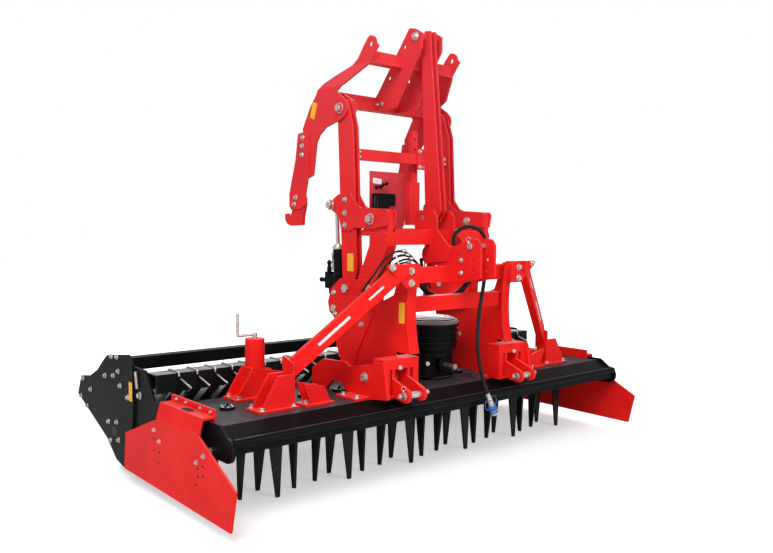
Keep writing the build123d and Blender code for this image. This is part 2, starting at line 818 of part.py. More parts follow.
# Lift arms: boomerang plates, joggled inwards above the column heads, with bolted hook plates
arm_shares = [
    (-0.020, 2.590), (0.071, 2.481), (0.136, 2.430), (0.195, 2.380), (0.263, 2.340), (0.190, 2.290),
    (0.160, 2.235), (0.180, 2.180), (0.234, 2.155), (0.375, 2.125), (0.440, 2.085), (0.474, 2.040),
    (0.512, 1.828), (0.570, 1.812), (0.605, 1.900), (0.629, 2.140), (0.550, 2.265), (0.478, 2.345),
    (0.434, 2.413), (0.362, 2.453), (0.225, 2.510), (0.177, 2.539), (0.112, 2.618), (0.062, 2.662),
]
hook_plate_shares = [
    (0.549, 2.095), (0.556, 1.815), (0.583, 1.710), (0.578, 1.640), (0.624, 1.617), (0.744, 1.605),
    (0.768, 1.633), (0.770, 1.714), (0.736, 1.820), (0.698, 1.935), (0.667, 2.109), (0.618, 2.115),
]
hook_shares = [
    (0.768, 1.690), (0.770, 1.640), (0.752, 1.604), (0.776, 1.562), (0.798, 1.556), (0.812, 1.585),
    (0.842, 1.582), (0.836, 1.540), (0.808, 1.512), (0.767, 1.502), (0.637, 1.506), (0.630, 1.570),
    (0.606, 1.640), (0.610, 1.690),
]
arm_low_x = column_outer + running_gap + 1
arm_high_x = 345.0
joggle_low, joggle_high = 2365.0, 2500.0
eye_y, eye_z, eye_radius = 52.0, 2608.0, 50.0
arm_boss_radius = 62.0
for name, sign in (("left", -1), ("right", 1)):
    with BuildPart() as arm:
        with BuildSketch(side(0)):
            with BuildLine():
                Polyline(*placed(arm_shares), close=True)
            make_face()
            with Locations((eye_y, eye_z)):
                Circle(eye_radius)
                Circle(pin_radius, mode=Mode.SUBTRACT)
            with Locations((head_pin_y, head_pin_z)):
                Circle(arm_boss_radius)
                Circle(foot_bore, mode=Mode.SUBTRACT)
        extrude(amount=sign * half_width / 2)
        with BuildSketch(front(-front_reach)):
            with BuildLine():
                Polyline(
                    (sign * arm_low_x, 0),
                    (sign * arm_low_x, joggle_low),
                    (sign * arm_high_x, joggle_high),
                    (sign * arm_high_x, 2 * joggle_high),
                    (sign * (arm_high_x + plate), 2 * joggle_high),
                    (sign * (arm_high_x + plate), joggle_high + plate / 2),
                    (sign * (arm_low_x + plate), joggle_low + plate / 2),
                    (sign * (arm_low_x + plate), 0),
                    close=True,
                )
            make_face()
        extrude(amount=-3 * front_reach, mode=Mode.INTERSECT)
        add(side_plate(placed(hook_plate_shares), arm_low_x + plate, plate, sign))
        add(side_plate(placed(hook_shares), arm_low_x - plate, 2 * plate, sign))
    save(f"arm_{name}", arm.part)

# Arm frame: two cross bars with arched gussets, ears inside the columns, and the perforated bracket
bracket_shares = [
    (-0.004, 2.738), (0.291, 2.380), (0.330, 2.340), (0.330, 2.262), (0.115, 2.262), (-0.118, 2.600),
    (-0.118, 2.690), (-0.060, 2.725),
]
upper_bar = (52.0, 122.0, 2500.0, 2572.0)
lower_bar = (305.0, 365.0, 2258.0, 2345.0)
hole_start = (40.0, 2630.0)
hole_step = (48.0, -58.0)
row_step = (75.0, 60.0)
bracket_hole_radius = 13.0
holes_in_row = 4
inner_ear_radius, inner_ear_root = 58.0, 45.0
gusset_reach, gusset_drop = 110.0, 95.0
with BuildPart() as arm_frame:
    add(cross_bar(*upper_bar, arm_high_x, beam_wall))
    add(cross_bar(*lower_bar, arm_low_x, beam_wall))
    for sign in (-1, 1):
        ear_start = column_inner - running_gap - 1 - plate
        ear_ends = [
            (head_pin_y, head_pin_z, inner_ear_radius),
            (lower_bar[0] + beam_wall, lower_bar[2] + 5 * beam_wall, inner_ear_root),
        ]
        add(lug(ear_ends, ear_start, plate, sign, [(head_pin_y, head_pin_z, foot_bore)]))
        rows = [
            (hole_start[0] + row * row_step[0] + step * hole_step[0],
             hole_start[1] + row * row_step[1] + step * hole_step[1], bracket_hole_radius)
            for row in (0, 1)
            for step in range(holes_in_row)
        ]
        add(side_plate(placed(bracket_shares), bracket_inner, plate, sign, rows))
        with BuildSketch(front(lower_bar[1] - plate)):
            with BuildLine():
                Line((sign * ear_start, lower_bar[2]), (sign * ear_start, lower_bar[2] - gusset_drop))
                RadiusArc((sign * ear_start, lower_bar[2] - gusset_drop),
                          (sign * (ear_start - gusset_reach), lower_bar[2]), sign * 2 * gusset_reach)
                Line((sign * (ear_start - gusset_reach), lower_bar[2]), (sign * ear_start, lower_bar[2]))
            make_face()
        extrude(amount=plate)
    add(cross_pin(bracket_pin_y, bracket_pin_z, pin_radius, -bracket_inner - 2 * plate,
                  2 * (bracket_inner + 2 * plate)))
save("arm_frame", arm_frame.part)

# Centre link: two deep plates on tubes round its pins
link_bore = pin_radius + pin_play
link_half = lug_inner - running_gap
link_eye_radius = 28.0
link_side_shares = [(0.32, 0.015), (0.32, 0.955), (0.22, 0.998), (0.0, 1.036), (-0.46, 1.030)]
link_front_shares = [(-0.46, 0.940), (-0.75, 0.035), (-0.31, -0.027), (0.15, -0.031)]
with BuildPart() as centre_link:
    outline = []
    for across, up in link_side_shares + link_front_shares:
        depth = link_depth + (link_top_depth - link_depth) * up
        outline.append((top_link_y + up * link_run + (across - 0.12) * depth, top_link_z + up * link_rise))
    for sign in (-1, 1):
        add(side_plate(outline, link_plate_inner, link_plate_thickness, sign))
    for y, z in ((top_link_y, top_link_z), (bracket_pin_y, bracket_pin_z)):
        add(cross_pin(y, z, link_eye_radius, -link_half, 2 * link_half))
    for y, z in ((top_link_y, top_link_z), (bracket_pin_y, bracket_pin_z)):
        with BuildSketch(side(-half_width / 2)):
            with Locations((y, z)):
                Circle(link_bore)
        extrude(amount=half_width, mode=Mode.SUBTRACT)
save("centre_link", centre_link.part)

# Prop behind the crossbar: a tube with a perforated bar in it, clamped to the crossbar
strut_foot_z, strut_mid_z, strut_top_z = 1512.0, 1800.0, 2132.0
strut_hole_radius, strut_hole_pitch, strut_holes = 9.0, 70.0, 4
strut_middle = strut_left + strut_width / 2
with BuildPart() as stop_strut:
    with BuildSketch(front(crossbar_rear)):
        with Locations((strut_middle, (strut_foot_z + strut_mid_z) / 2)):
            Rectangle(strut_width, strut_mid_z - strut_foot_z)
    extrude(amount=-strut_depth)
    with BuildSketch(front(crossbar_rear)):
        with Locations((strut_middle, (strut_mid_z + strut_top_z) / 2)):
            Rectangle(strut_bar_width, strut_top_z - strut_mid_z + 2 * overrun)
        for number in range(strut_holes):
            height = strut_top_z - plate - strut_hole_pitch * (number + 1 / 2)
            with Locations((strut_middle, height)):
                Circle(strut_hole_radius, mode=Mode.SUBTRACT)
    extrude(amount=-strut_depth + plate)
save("stop_strut", stop_strut.part)

# Lift cylinders
tilt = math.atan2(cylinder_eye_y - cylinder_foot_y, cylinder_eye_z - cylinder_foot_z)
length = math.hypot(cylinder_eye_y - cylinder_foot_y, cylinder_eye_z - cylinder_foot_z)
for name, sign in (("left", -1), ("right", 1)):
    foot = Vector(sign * cylinder_x, rotor_line + cylinder_foot_y, cylinder_foot_z)
    axis = Vector(0, math.sin(tilt), math.cos(tilt))
    with BuildPart() as cylinder_barrel:
        add(cross_pin(cylinder_foot_y, cylinder_foot_z, cylinder_eye_radius,
                      cylinder_x - cylinder_eye_width / 2, cylinder_eye_width, sign))
        with BuildSketch(Plane(origin=foot + axis * barrel_start, x_dir=(1, 0, 0), z_dir=axis)):
            Circle(barrel_radius)
        extrude(amount=barrel_length - barrel_start)
        with BuildSketch(Plane(origin=foot + axis * valve_start, x_dir=(1, 0, 0), z_dir=axis)):
            with Locations((0, barrel_radius + valve_depth / 4)):
                Rectangle(valve_width, valve_depth)
        extrude(amount=valve_length)
        with BuildSketch(side(sign * (cylinder_x - cylinder_eye_width))):
            with Locations((cylinder_foot_y, cylinder_foot_z)):
                Circle(cylinder_bore)
        extrude(amount=sign * 2 * cylinder_eye_width, mode=Mode.SUBTRACT)
        bore_start = foot + axis * (cylinder_eye_radius + plate)
        with BuildSketch(Plane(origin=bore_start, x_dir=(1, 0, 0), z_dir=axis)):
            Circle(rod_radius + shaft_play)
        extrude(amount=barrel_length, mode=Mode.SUBTRACT)
    save(f"cylinder_barrel_{name}", cylinder_barrel.part)
    with BuildPart() as cylinder_rod:
        with BuildSketch(Plane(origin=foot + axis * rod_start, x_dir=(1, 0, 0), z_dir=axis)):
            Circle(rod_radius)
        extrude(amount=length - rod_start)
        add(cross_pin(cylinder_eye_y, cylinder_eye_z, cylinder_eye_radius,
                      cylinder_x - cylinder_eye_width / 2, cylinder_eye_width, sign))
    save(f"cylinder_rod_{name}", cylinder_rod.part)

# Side deflectors: a lower plate, a band bent inwards, a flange and an upright edge on the trough
lower_shares = [
    (-0.538, 0.072), (-0.586, 0.276), (-0.206, 0.470), (0.294, 0.440), (0.673, 0.298), (0.694, 0.083),
]
band_front_y, band_length, band_low = -225.0, 480.0, 430.0
pivot_radius = 14.0
pivots = placed([(-0.240, 0.384), (0.225, 0.378)])
end_outer = trough_half + end_plate_thickness
for name, sign in (("left", -1), ("right", 1)):
    with BuildPart() as deflector:
        add(side_plate(placed(lower_shares), deflector_inner, deflector_thickness, sign))
        edge_inner = trough_half - deflector_edge_inset
        edge_outer = edge_inner + deflector_thickness
        slope = deflector_thickness / 2
        with BuildSketch(front(band_front_y)):
            with BuildLine():
                Polyline(
                    (sign * half_width, band_low),
                    (sign * half_width, deflector_bend_low),
                    (sign * (deflector_inner - 2 * slope), deflector_bend_high),
                    (sign * edge_outer, deflector_bend_high),
                    (sign * edge_outer, deflector_edge_top),
                    (sign * edge_inner, deflector_edge_top),
                    (sign * edge_inner, trough_top),
                    (sign * edge_outer, trough_top),
                    (sign * edge_outer, deflector_bend_high - deflector_thickness),
                    (sign * (deflector_inner - 3 * slope), deflector_bend_high - deflector_thickness),
                    (sign * deflector_inner, deflector_bend_low - slope),
                    (sign * deflector_inner, band_low),
                    close=True,
                )
            make_face()
        extrude(amount=-band_length)
        for y, z in pivots:
            add(cross_pin(y, z, pivot_radius, end_outer, deflector_inner - end_outer + 1, sign))
    save(f"deflector_{name}", deflector.part)

# Roller frames: an outer end plate and the arm plate that carries it from the trough's end
roller_shares = [
    (0.650, 0.690), (0.711, 0.741), (1.029, 0.700), (1.102, 0.655), (1.196, 0.585), (1.323, 0.530),
    (1.486, 0.506),
]
roller_low_shares = [(1.047, 0.184), (0.900, 0.083), (0.785, 0.059), (0.690, 0.140), (0.640, 0.420)]
roller_tip_z = 379.0
arm_plate_shares = [
    (0.060, 0.420), (0.060, 0.515), (0.386, 0.523), (0.499, 0.675), (0.757, 0.679), (0.800, 0.640),
    (0.800, 0.330), (0.730, 0.235), (0.560, 0.250), (0.300, 0.405),
]
for name, sign in (("left", -1), ("right", 1)):
    with BuildPart() as roller_frame:
        frame_outline = placed(roller_shares) + [(rear_reach, roller_tip_z)] + placed(roller_low_shares)
        add(side_plate(frame_outline, roller_plate_inner, roller_plate_thickness, sign,
                       [(roller_y, roller_radius, roller_stub_radius + pin_play)]))
        add(side_plate(placed(arm_plate_shares), end_outer, roller_plate_inner - end_outer, sign))
    save(f"roller_frame_{name}", roller_frame.part)

# Square tubes behind: the top beam, and the scraper beam with its scrapers
top_beam = (822.0, 902.0, 625.0, 700.0)
scraper_beam = (380.0, 500.0, 560.0, 665.0)
scraper_root_low, scraper_root_high = 575.0, 590.0
scraper_width = 60.0
scraper_gap = 7.0
with BuildPart() as roller_beam:
    add(cross_bar(*top_beam, roller_plate_inner, beam_wall))
save("roller_beam", roller_beam.part)

ring_places = [(i - (tooth_rings - 1) / 2) * ring_pitch for i in range(tooth_rings)]
scraper_run = roller_y - scraper_beam[1] + pin_radius
scraper_drop = scraper_root_high - roller_radius
scraper_reach = math.hypot(scraper_run, scraper_drop)
with BuildPart() as scraper_bar:
    add(cross_bar(*scraper_beam, end_outer, beam_wall))
    tip_y = roller_y - scraper_run / scraper_reach * (drum_radius + scraper_gap)
    tip_z = roller_radius + scraper_drop / scraper_reach * (drum_radius + scraper_gap)
    root_y = scraper_beam[1] - running_gap
    for left, right in zip(ring_places, ring_places[1:]):
        add(side_plate(
            [(root_y, scraper_root_low), (root_y, scraper_root_high), (tip_y, tip_z + beam_wall),
             (tip_y - running_gap, tip_z)],
            (left + right - scraper_width) / 2, scraper_width, 1,
        ))
save("scraper_bar", scraper_bar.part)

# Packer roller: a drum on stub shafts with rings of teeth, each ring turned against the next
with BuildPart() as packer_roller:
    add(cross_pin(roller_y, roller_radius, drum_radius, -roller_half, 2 * roller_half))
    stub = roller_plate_inner + roller_plate_thickness
    add(cross_pin(roller_y, roller_radius, roller_stub_radius, -stub, 2 * stub))
    for ring, x in enumerate(ring_places):
        turn = ring % 3 * 360 / tooth_count / 3 - 90
        with BuildSketch(side(x - ring_thickness / 2)):
            with Locations((roller_y, roller_radius)):
                with PolarLocations(0, tooth_count, start_angle=turn):
                    Polygon((drum_radius - overrun, -tooth_root), (roller_radius, -tooth_back),
                            (roller_radius, tooth_front), (drum_radius - overrun, tooth_foot), align=None)
    extrude(amount=ring_thickness)
save("packer_roller", packer_roller.part)

# Crank post for the levelling board, with its handle
post_x, post_y = -1090.0, 190.0
post_radius = 56.0
post_low, post_top = 640.0, 850.0
post_foot_length, post_foot_width, post_foot_y = 350.0, 150.0, 175.0
post_walls = (120.0, 235.0)
wall_shares = [(-0.165, 0.527), (-0.055, 0.695), (0.135, 0.655), (0.175, 0.527)]
rib_low_y, rib_high_y, rib_top, rib_inset = 115.0, 240.0, 690.0, 60.0
with BuildPart() as crank_post:
    with BuildSketch(level(post_low)):
        with Locations((post_x, post_y)):
            Circle(post_radius)
    extrude(amount=post_top - post_low)
    with BuildSketch(level(trough_top)):
        with Locations((post_x, post_foot_y)):
            Rectangle(post_foot_length, post_foot_width)
    extrude(amount=plate)
    for y in post_walls:
        with BuildSketch(front(y)):
            with BuildLine():
                Polyline(*[(post_x + x, z) for x, z in placed(wall_shares)], close=True)
            make_face()
        extrude(amount=plate / 2, both=True)
    with BuildSketch(side(post_x - rib_inset)):
        with BuildLine():
            Polyline(
                (rib_low_y, foot_low), (rib_low_y, rib_top), (rib_high_y, rib_top), (rib_high_y, foot_low),
                close=True,
            )
        make_face()
    extrude(amount=plate)
save("crank_post", crank_post.part)

handle_reach = 112.0
handle_radius = 9.0
handle_height = 125.0
spindle_radius, spindle_height, handle_rise = 15.0, 32.0, 22.0
with BuildPart() as crank_handle:
    with BuildSketch(level(post_top)):
        with Locations((post_x, post_y)):
            Circle(spindle_radius)
    extrude(amount=spindle_height)
    with BuildSketch(side(post_x)):
        with Locations((post_y, post_top + handle_rise)):
            Circle(handle_radius)
    extrude(amount=-handle_reach)
    with BuildSketch(level(post_top + handle_rise)):
        with Locations((post_x - handle_reach, post_y)):
            Circle(handle_radius)
    extrude(amount=handle_height)
save("crank_handle", crank_handle.part)

# Upright panel behind the left half of the fixed crossbeam, with the valve block on it
panel_x, panel_width = -230.0, 272.0
panel_low, panel_high = 1480.0, 1838.0
panel_front, panel_thickness = 36.0, 8.0
block_x, block_width, block_low, block_high, block_depth = -305.0, 90.0, 1610.0, 1700.0, 60.0
side_block_width, side_block_low = 50.0, 1625.0
with BuildPart() as valve_panel:
    with BuildSketch(front(panel_front + panel_thickness)):
        with Locations((panel_x, (panel_low + panel_high) / 2)):
            Rectangle(panel_width, panel_high - panel_low)
    extrude(amount=panel_thickness)
    with BuildSketch(level(panel_low)):
        with Locations((panel_x, (beam_rear_y - running_gap + panel_front) / 2)):
            Rectangle(panel_width, panel_front - beam_rear_y + running_gap)
    extrude(amount=panel_thickness)
save("valve_panel", valve_panel.part)

with BuildPart() as valve_block:
    with BuildSketch(front(panel_front)):
        with Locations((block_x, (block_low + block_high) / 2)):
            Rectangle(block_width, block_high - block_low)
        with Locations((block_x + (block_width + side_block_width) / 2, (side_block_low + block_high) / 2)):
            Rectangle(side_block_width, block_high - side_block_low)
    extrude(amount=block_depth)
save("valve_block", valve_block.part)

# Front hose, a tube of straight runs and tangent arcs, and the coupler on its end
route = [Vector(x, rotor_line + y, z) for x, y, z in hose_points]
runs = [b - a for a, b in zip(route, route[1:])]
radii = [
    0.45 * min(a.length, b.length) / math.tan(math.radians(a.get_angle(b) / 2))
    for a, b in zip(runs, runs[1:])
]
print("hose radii", [round(r) for r in radii])
with BuildPart() as front_hose:
    with BuildLine() as path:
        FilletPolyline(*route, radius=radii)
    with BuildSketch(Plane(origin=route[0], z_dir=runs[0].normalized())) as hose_section:
        RegularPolygon(hose_radius, hose_sides)
    sweep()
hose_length = sum(edge.length for edge in path.edges())
print("hose length", round(hose_length), "volume share",
      round(front_hose.part.volume / (hose_section.sketch.area * hose_length), 4))
save("front_hose", front_hose.part)

way_out = runs[-1].normalized()
with BuildPart() as hose_coupler:
    with BuildSketch(Plane(origin=route[-1], z_dir=way_out)):
        Circle(coupler_radius)
    extrude(amount=coupler_length)
    with BuildSketch(Plane(origin=route[-1] + way_out * coupler_length, z_dir=way_out)):
        Circle(cap_cup_radius)
    extrude(amount=cap_cup_length)
save("hose_coupler", hose_coupler.part)
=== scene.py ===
# %% [markdown]
# # A vertical rotary tiller with its lift tower
#
# A rotary tiller of this kind is welded from thick plate and square tube, painted red, and
# stands on its tines and on a toothed packer roller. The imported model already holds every
# plate and pin in its place. What this lesson adds is what a paint shop, a fitter and a
# season in the yard add: finishes, bolts, weld beads, hoses, clips, dust and blank labels.

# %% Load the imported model
import json
import math
import random

import bmesh
import bpy
from mathutils import Matrix, Vector


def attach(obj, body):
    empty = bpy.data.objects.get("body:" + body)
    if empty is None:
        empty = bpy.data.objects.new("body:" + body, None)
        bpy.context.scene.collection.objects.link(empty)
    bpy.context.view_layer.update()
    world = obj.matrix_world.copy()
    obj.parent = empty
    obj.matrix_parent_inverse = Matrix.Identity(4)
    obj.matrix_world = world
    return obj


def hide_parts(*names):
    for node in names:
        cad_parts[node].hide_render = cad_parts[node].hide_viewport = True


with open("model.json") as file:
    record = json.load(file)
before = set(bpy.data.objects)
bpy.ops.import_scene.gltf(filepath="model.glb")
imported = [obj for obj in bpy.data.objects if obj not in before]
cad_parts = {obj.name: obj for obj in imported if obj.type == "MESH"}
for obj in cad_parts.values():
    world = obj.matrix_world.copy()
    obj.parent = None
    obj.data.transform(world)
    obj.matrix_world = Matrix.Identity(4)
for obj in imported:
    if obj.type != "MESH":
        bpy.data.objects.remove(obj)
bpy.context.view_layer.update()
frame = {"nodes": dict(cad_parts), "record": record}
nodes = frame["nodes"]

# %% [markdown]
# ## The camera
#
# The picture was taken at chest height from the front left corner, a little closer than a
# catalogue photographer would stand, so the left deflector looms large. A camera is fixed by
# where it stands, where it looks and how wide it sees. Those were worked out from known sizes
# on the machine, such as the even pitch of the bearing caps.

# %% Camera
photo_width = 773
focal_px = 768.5
sensor_mm = 36.0
camera_place = Vector((-3.3829, -4.0900, 1.4655))
heading = math.radians(40.79)
look_down = math.radians(3.33)
roll_angle = math.radians(0.448)

camera_data = bpy.data.cameras.new("camera")
camera_data.sensor_width = sensor_mm
camera_data.lens = focal_px / photo_width * sensor_mm
camera = bpy.data.objects.new("camera", camera_data)
bpy.context.scene.collection.objects.link(camera)
forward = Vector((
    math.sin(heading) * math.cos(look_down),
    math.cos(heading) * math.cos(look_down),
    -math.sin(look_down),
))
right = Vector((math.cos(heading), -math.sin(heading), 0))
up = right.cross(forward)
right_rolled = math.cos(roll_angle) * right + math.sin(roll_angle) * up
up_rolled = -math.sin(roll_angle) * right + math.cos(roll_angle) * up
camera.matrix_world = Matrix.Translation(camera_place) @ Matrix(
    (right_rolled, up_rolled, -forward)
).transposed().to_4x4()
bpy.context.scene.camera = camera
print("lens", round(camera_data.lens, 2))

# %% [markdown]
# ## The front hose
#
# A hose hangs from the nut on the upper beam, goes up and over in a short arch and drops in
# front of the machine to its coupler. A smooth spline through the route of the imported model
# gives it the even sag that rubber has; a chain of straight pieces would look like bent wire.
# The bevel is one metre and each point's radius scales it down to the rod's own, because
# Blender adds the plain point radius to a curve's bounds.

# %% Front hose
rotor_line = -0.470
hose_route_mm = [
    (0, -330, 1288), (0, -330, 1376), (-4, -326, 1462), (53, -408, 1516), (106, -486, 1462),
    (108, -492, 1340), (103, -494, 1250), (92, -494, 1150), (66, -494, 1045), (48, -495, 940),
    (41, -496, 835), (47, -498, 730), (68, -502, 625), (105, -505, 528), (150, -505, 440),
]
hose_radius = 0.012


def at(x, y, z):
    """A place in metres, with its fore-and-aft part counted from the rotor row."""
    return Vector((x, rotor_line + y, z))


def line(name, places, radius):
    """A round bar, pipe or hose along a smooth spline."""
    curve = bpy.data.curves.new(name, "CURVE")
    curve.dimensions = "3D"
    spline = curve.splines.new("NURBS")
    spline.points.add(len(places) - 1)
    for point, place in zip(spline.points, places):
        point.co = (*place, 1)
        point.radius = radius
    spline.order_u = 3
    spline.use_endpoint_u = True
    curve.resolution_u = 12
    curve.bevel_depth = 1.0
    curve.bevel_resolution = 5
    curve.use_fill_caps = True
    made = bpy.data.objects.new(name, curve)
    bpy.context.scene.collection.objects.link(made)
    return made


hose_route = [at(x / 1000, y / 1000, z / 1000) for x, y, z in hose_route_mm]
hose = line("hose_run", hose_route, hose_radius)
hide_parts("front_hose")
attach(hose, "machine")
hose_exit = at(0, -0.330, 1.288)
print("hose points", len(hose_route_mm))

# %% [markdown]
# ## A few words for shader nodes
#
# Floor, paint and rubber are all drawn by shader nodes. Wiring each node by hand takes many
# lines, so these helpers name the wiring that comes back: a mix, a range, a product and a
# cloudy pattern. Each one returns an output that the next can take.

# %% Node helpers


def add_node(tree, kind, **settings):
    """A shader node with its settings and input values, given by name."""
    node = tree.nodes.new(kind)
    for key, value in settings.items():
        if key in node.inputs:
            node.inputs[key].default_value = value
        else:
            setattr(node, key, value)
    return node


def blended(tree, factor, first, second):
    """A mix of two colours or colour outputs by a factor output."""
    mix = add_node(tree, "ShaderNodeMix", data_type="RGBA")
    tree.links.new(factor, mix.inputs["Factor"])
    for index, value in ((6, first), (7, second)):
        if isinstance(value, tuple):
            mix.inputs[index].default_value = (*value, 1)
        else:
            tree.links.new(value, mix.inputs[index])
    return mix.outputs[2]


def ranged(tree, value, low, high, to_low=0.0, to_high=1.0):
    """A value moved from one range to another, and kept inside it."""
    node = add_node(tree, "ShaderNodeMapRange")
    tree.links.new(value, node.inputs["Value"])
    limits = {"From Min": low, "From Max": high, "To Min": to_low, "To Max": to_high}
    for key, number in limits.items():
        node.inputs[key].default_value = number
    return node.outputs["Result"]


def product(tree, first, second):
    """Two values multiplied."""
    node = add_node(tree, "ShaderNodeMath", operation="MULTIPLY")
    tree.links.new(first, node.inputs[0])
    if isinstance(second, float):
        node.inputs[1].default_value = second
    else:
        tree.links.new(second, node.inputs[1])
    return node.outputs["Value"]


def speckle(tree, coords, scale, detail):
    """A cloudy pattern in the piece's own metres."""
    noise = add_node(tree, "ShaderNodeTexNoise", Scale=scale, Detail=detail)
    tree.links.new(coords, noise.inputs["Vector"])
    return noise.outputs["Fac"]

# %% [markdown]
# ## Floor
#
# The catalogue picture is cut out on plain white. A pale floor that turns white for the
# camera keeps the soft shadow under the machine. Its glow is seen by the camera only, so it
# throws no light on the paint, and it grows with distance until the shadow has faded out.

# %% Floor
near_floor, far_floor = 1.6, 5.5
near_glow, far_glow = 0.42, 1.0
bpy.context.scene.view_settings.view_transform = "Standard"
bpy.ops.mesh.primitive_plane_add(size=60, location=(0, 0, 0))
floor = bpy.context.object
floor.name = "floor"
floor_finish = bpy.data.materials.new("pale_floor")
floor_finish.use_nodes = True
tree = floor_finish.node_tree
floor_shader = tree.nodes["Principled BSDF"]
floor_shader.inputs["Base Color"].default_value = (0.80, 0.80, 0.80, 1)
floor_shader.inputs["Roughness"].default_value = 0.9
floor.data.materials.append(floor_finish)
reach = add_node(tree, "ShaderNodeVectorMath", operation="LENGTH")
tree.links.new(add_node(tree, "ShaderNodeNewGeometry").outputs["Position"], reach.inputs[0])
glow = ranged(tree, reach.outputs["Value"], near_floor, far_floor, near_glow, far_glow)
camera_only = add_node(tree, "ShaderNodeLightPath").outputs["Is Camera Ray"]
floor_shader.inputs["Emission Color"].default_value = (1, 1, 1, 1)
tree.links.new(product(tree, glow, camera_only), floor_shader.inputs["Emission Strength"])
print("floor laid")

# %% [markdown]
# ## Backdrop and lamps
#
# The sky lights the machine a little from all sides, while the camera sees plain white
# behind it. Three big soft lamps then show paint as it is, with one small lamp over the
# gearbox lid, which lies deep between the legs where little light comes down.

# %% Backdrop
world = bpy.data.worlds.new("studio")
bpy.context.scene.world = world
world.use_nodes = True
tree = world.node_tree
sky = tree.nodes["Background"]
sky.inputs["Color"].default_value = (1, 1, 1, 1)
sky.inputs["Strength"].default_value = 0.55
white = add_node(tree, "ShaderNodeBackground", Color=(1, 1, 1, 1), Strength=1.0)
seen = add_node(tree, "ShaderNodeMixShader")
tree.links.new(add_node(tree, "ShaderNodeLightPath").outputs["Is Camera Ray"], seen.inputs["Fac"])
tree.links.new(sky.outputs["Background"], seen.inputs[1])
tree.links.new(white.outputs["Background"], seen.inputs[2])
tree.links.new(seen.outputs["Shader"], tree.nodes["World Output"].inputs["Surface"])
print("backdrop set")

# %% Lamps


def lamp(name, place, aim, size, power):
    """A soft square lamp at place that shines at aim."""
    data = bpy.data.lights.new(name, "AREA")
    data.size = size
    data.energy = power
    made = bpy.data.objects.new(name, data)
    bpy.context.scene.collection.objects.link(made)
    made.location = place
    made.rotation_euler = (Vector(aim) - Vector(place)).to_track_quat("-Z", "Y").to_euler()


lamp("key_lamp", (-5.0, -4.5, 6.0), (0, 0, 0.8), 3.5, 420)
lamp("front_lamp", (1.5, -7.0, 3.5), (0, 0, 0.8), 3.0, 130)
lamp("rear_lamp", (4.0, 5.0, 5.5), (0, 0, 0.8), 3.5, 260)
lamp("lid_lamp", at(0.125, -0.060, 1.150), at(0.125, -0.050, 0.900), 0.20, 1.1)
print("lamps hung")

# %% [markdown]
# ## Finishes
#
# Every finish is one shader with the same few layers, set to different amounts: a broad
# change of colour, a fine speckle that moves the roughness, a lighter tone on whatever looks
# upward, pale edges, and on the red a paler top. The upward tone is dust on the blacks, a
# painted highlight on the reds, and both on the lid. The pale edges are partly paint worn
# at the rims and partly painted highlight where light catches them, and the paler top is
# painted light. The edges come from a bevel in the shader, which also rounds the sharp plate
# edges a little, as a cut plate has them.

# %% Layered finish
finishes = {}
# Painted light: the heights over which a finish turns paler toward the top of the tower, and how
# far it turns.
top_light_from, top_light_to, most_top_light = 1.1, 2.4, 0.62
rim_radius = 0.003


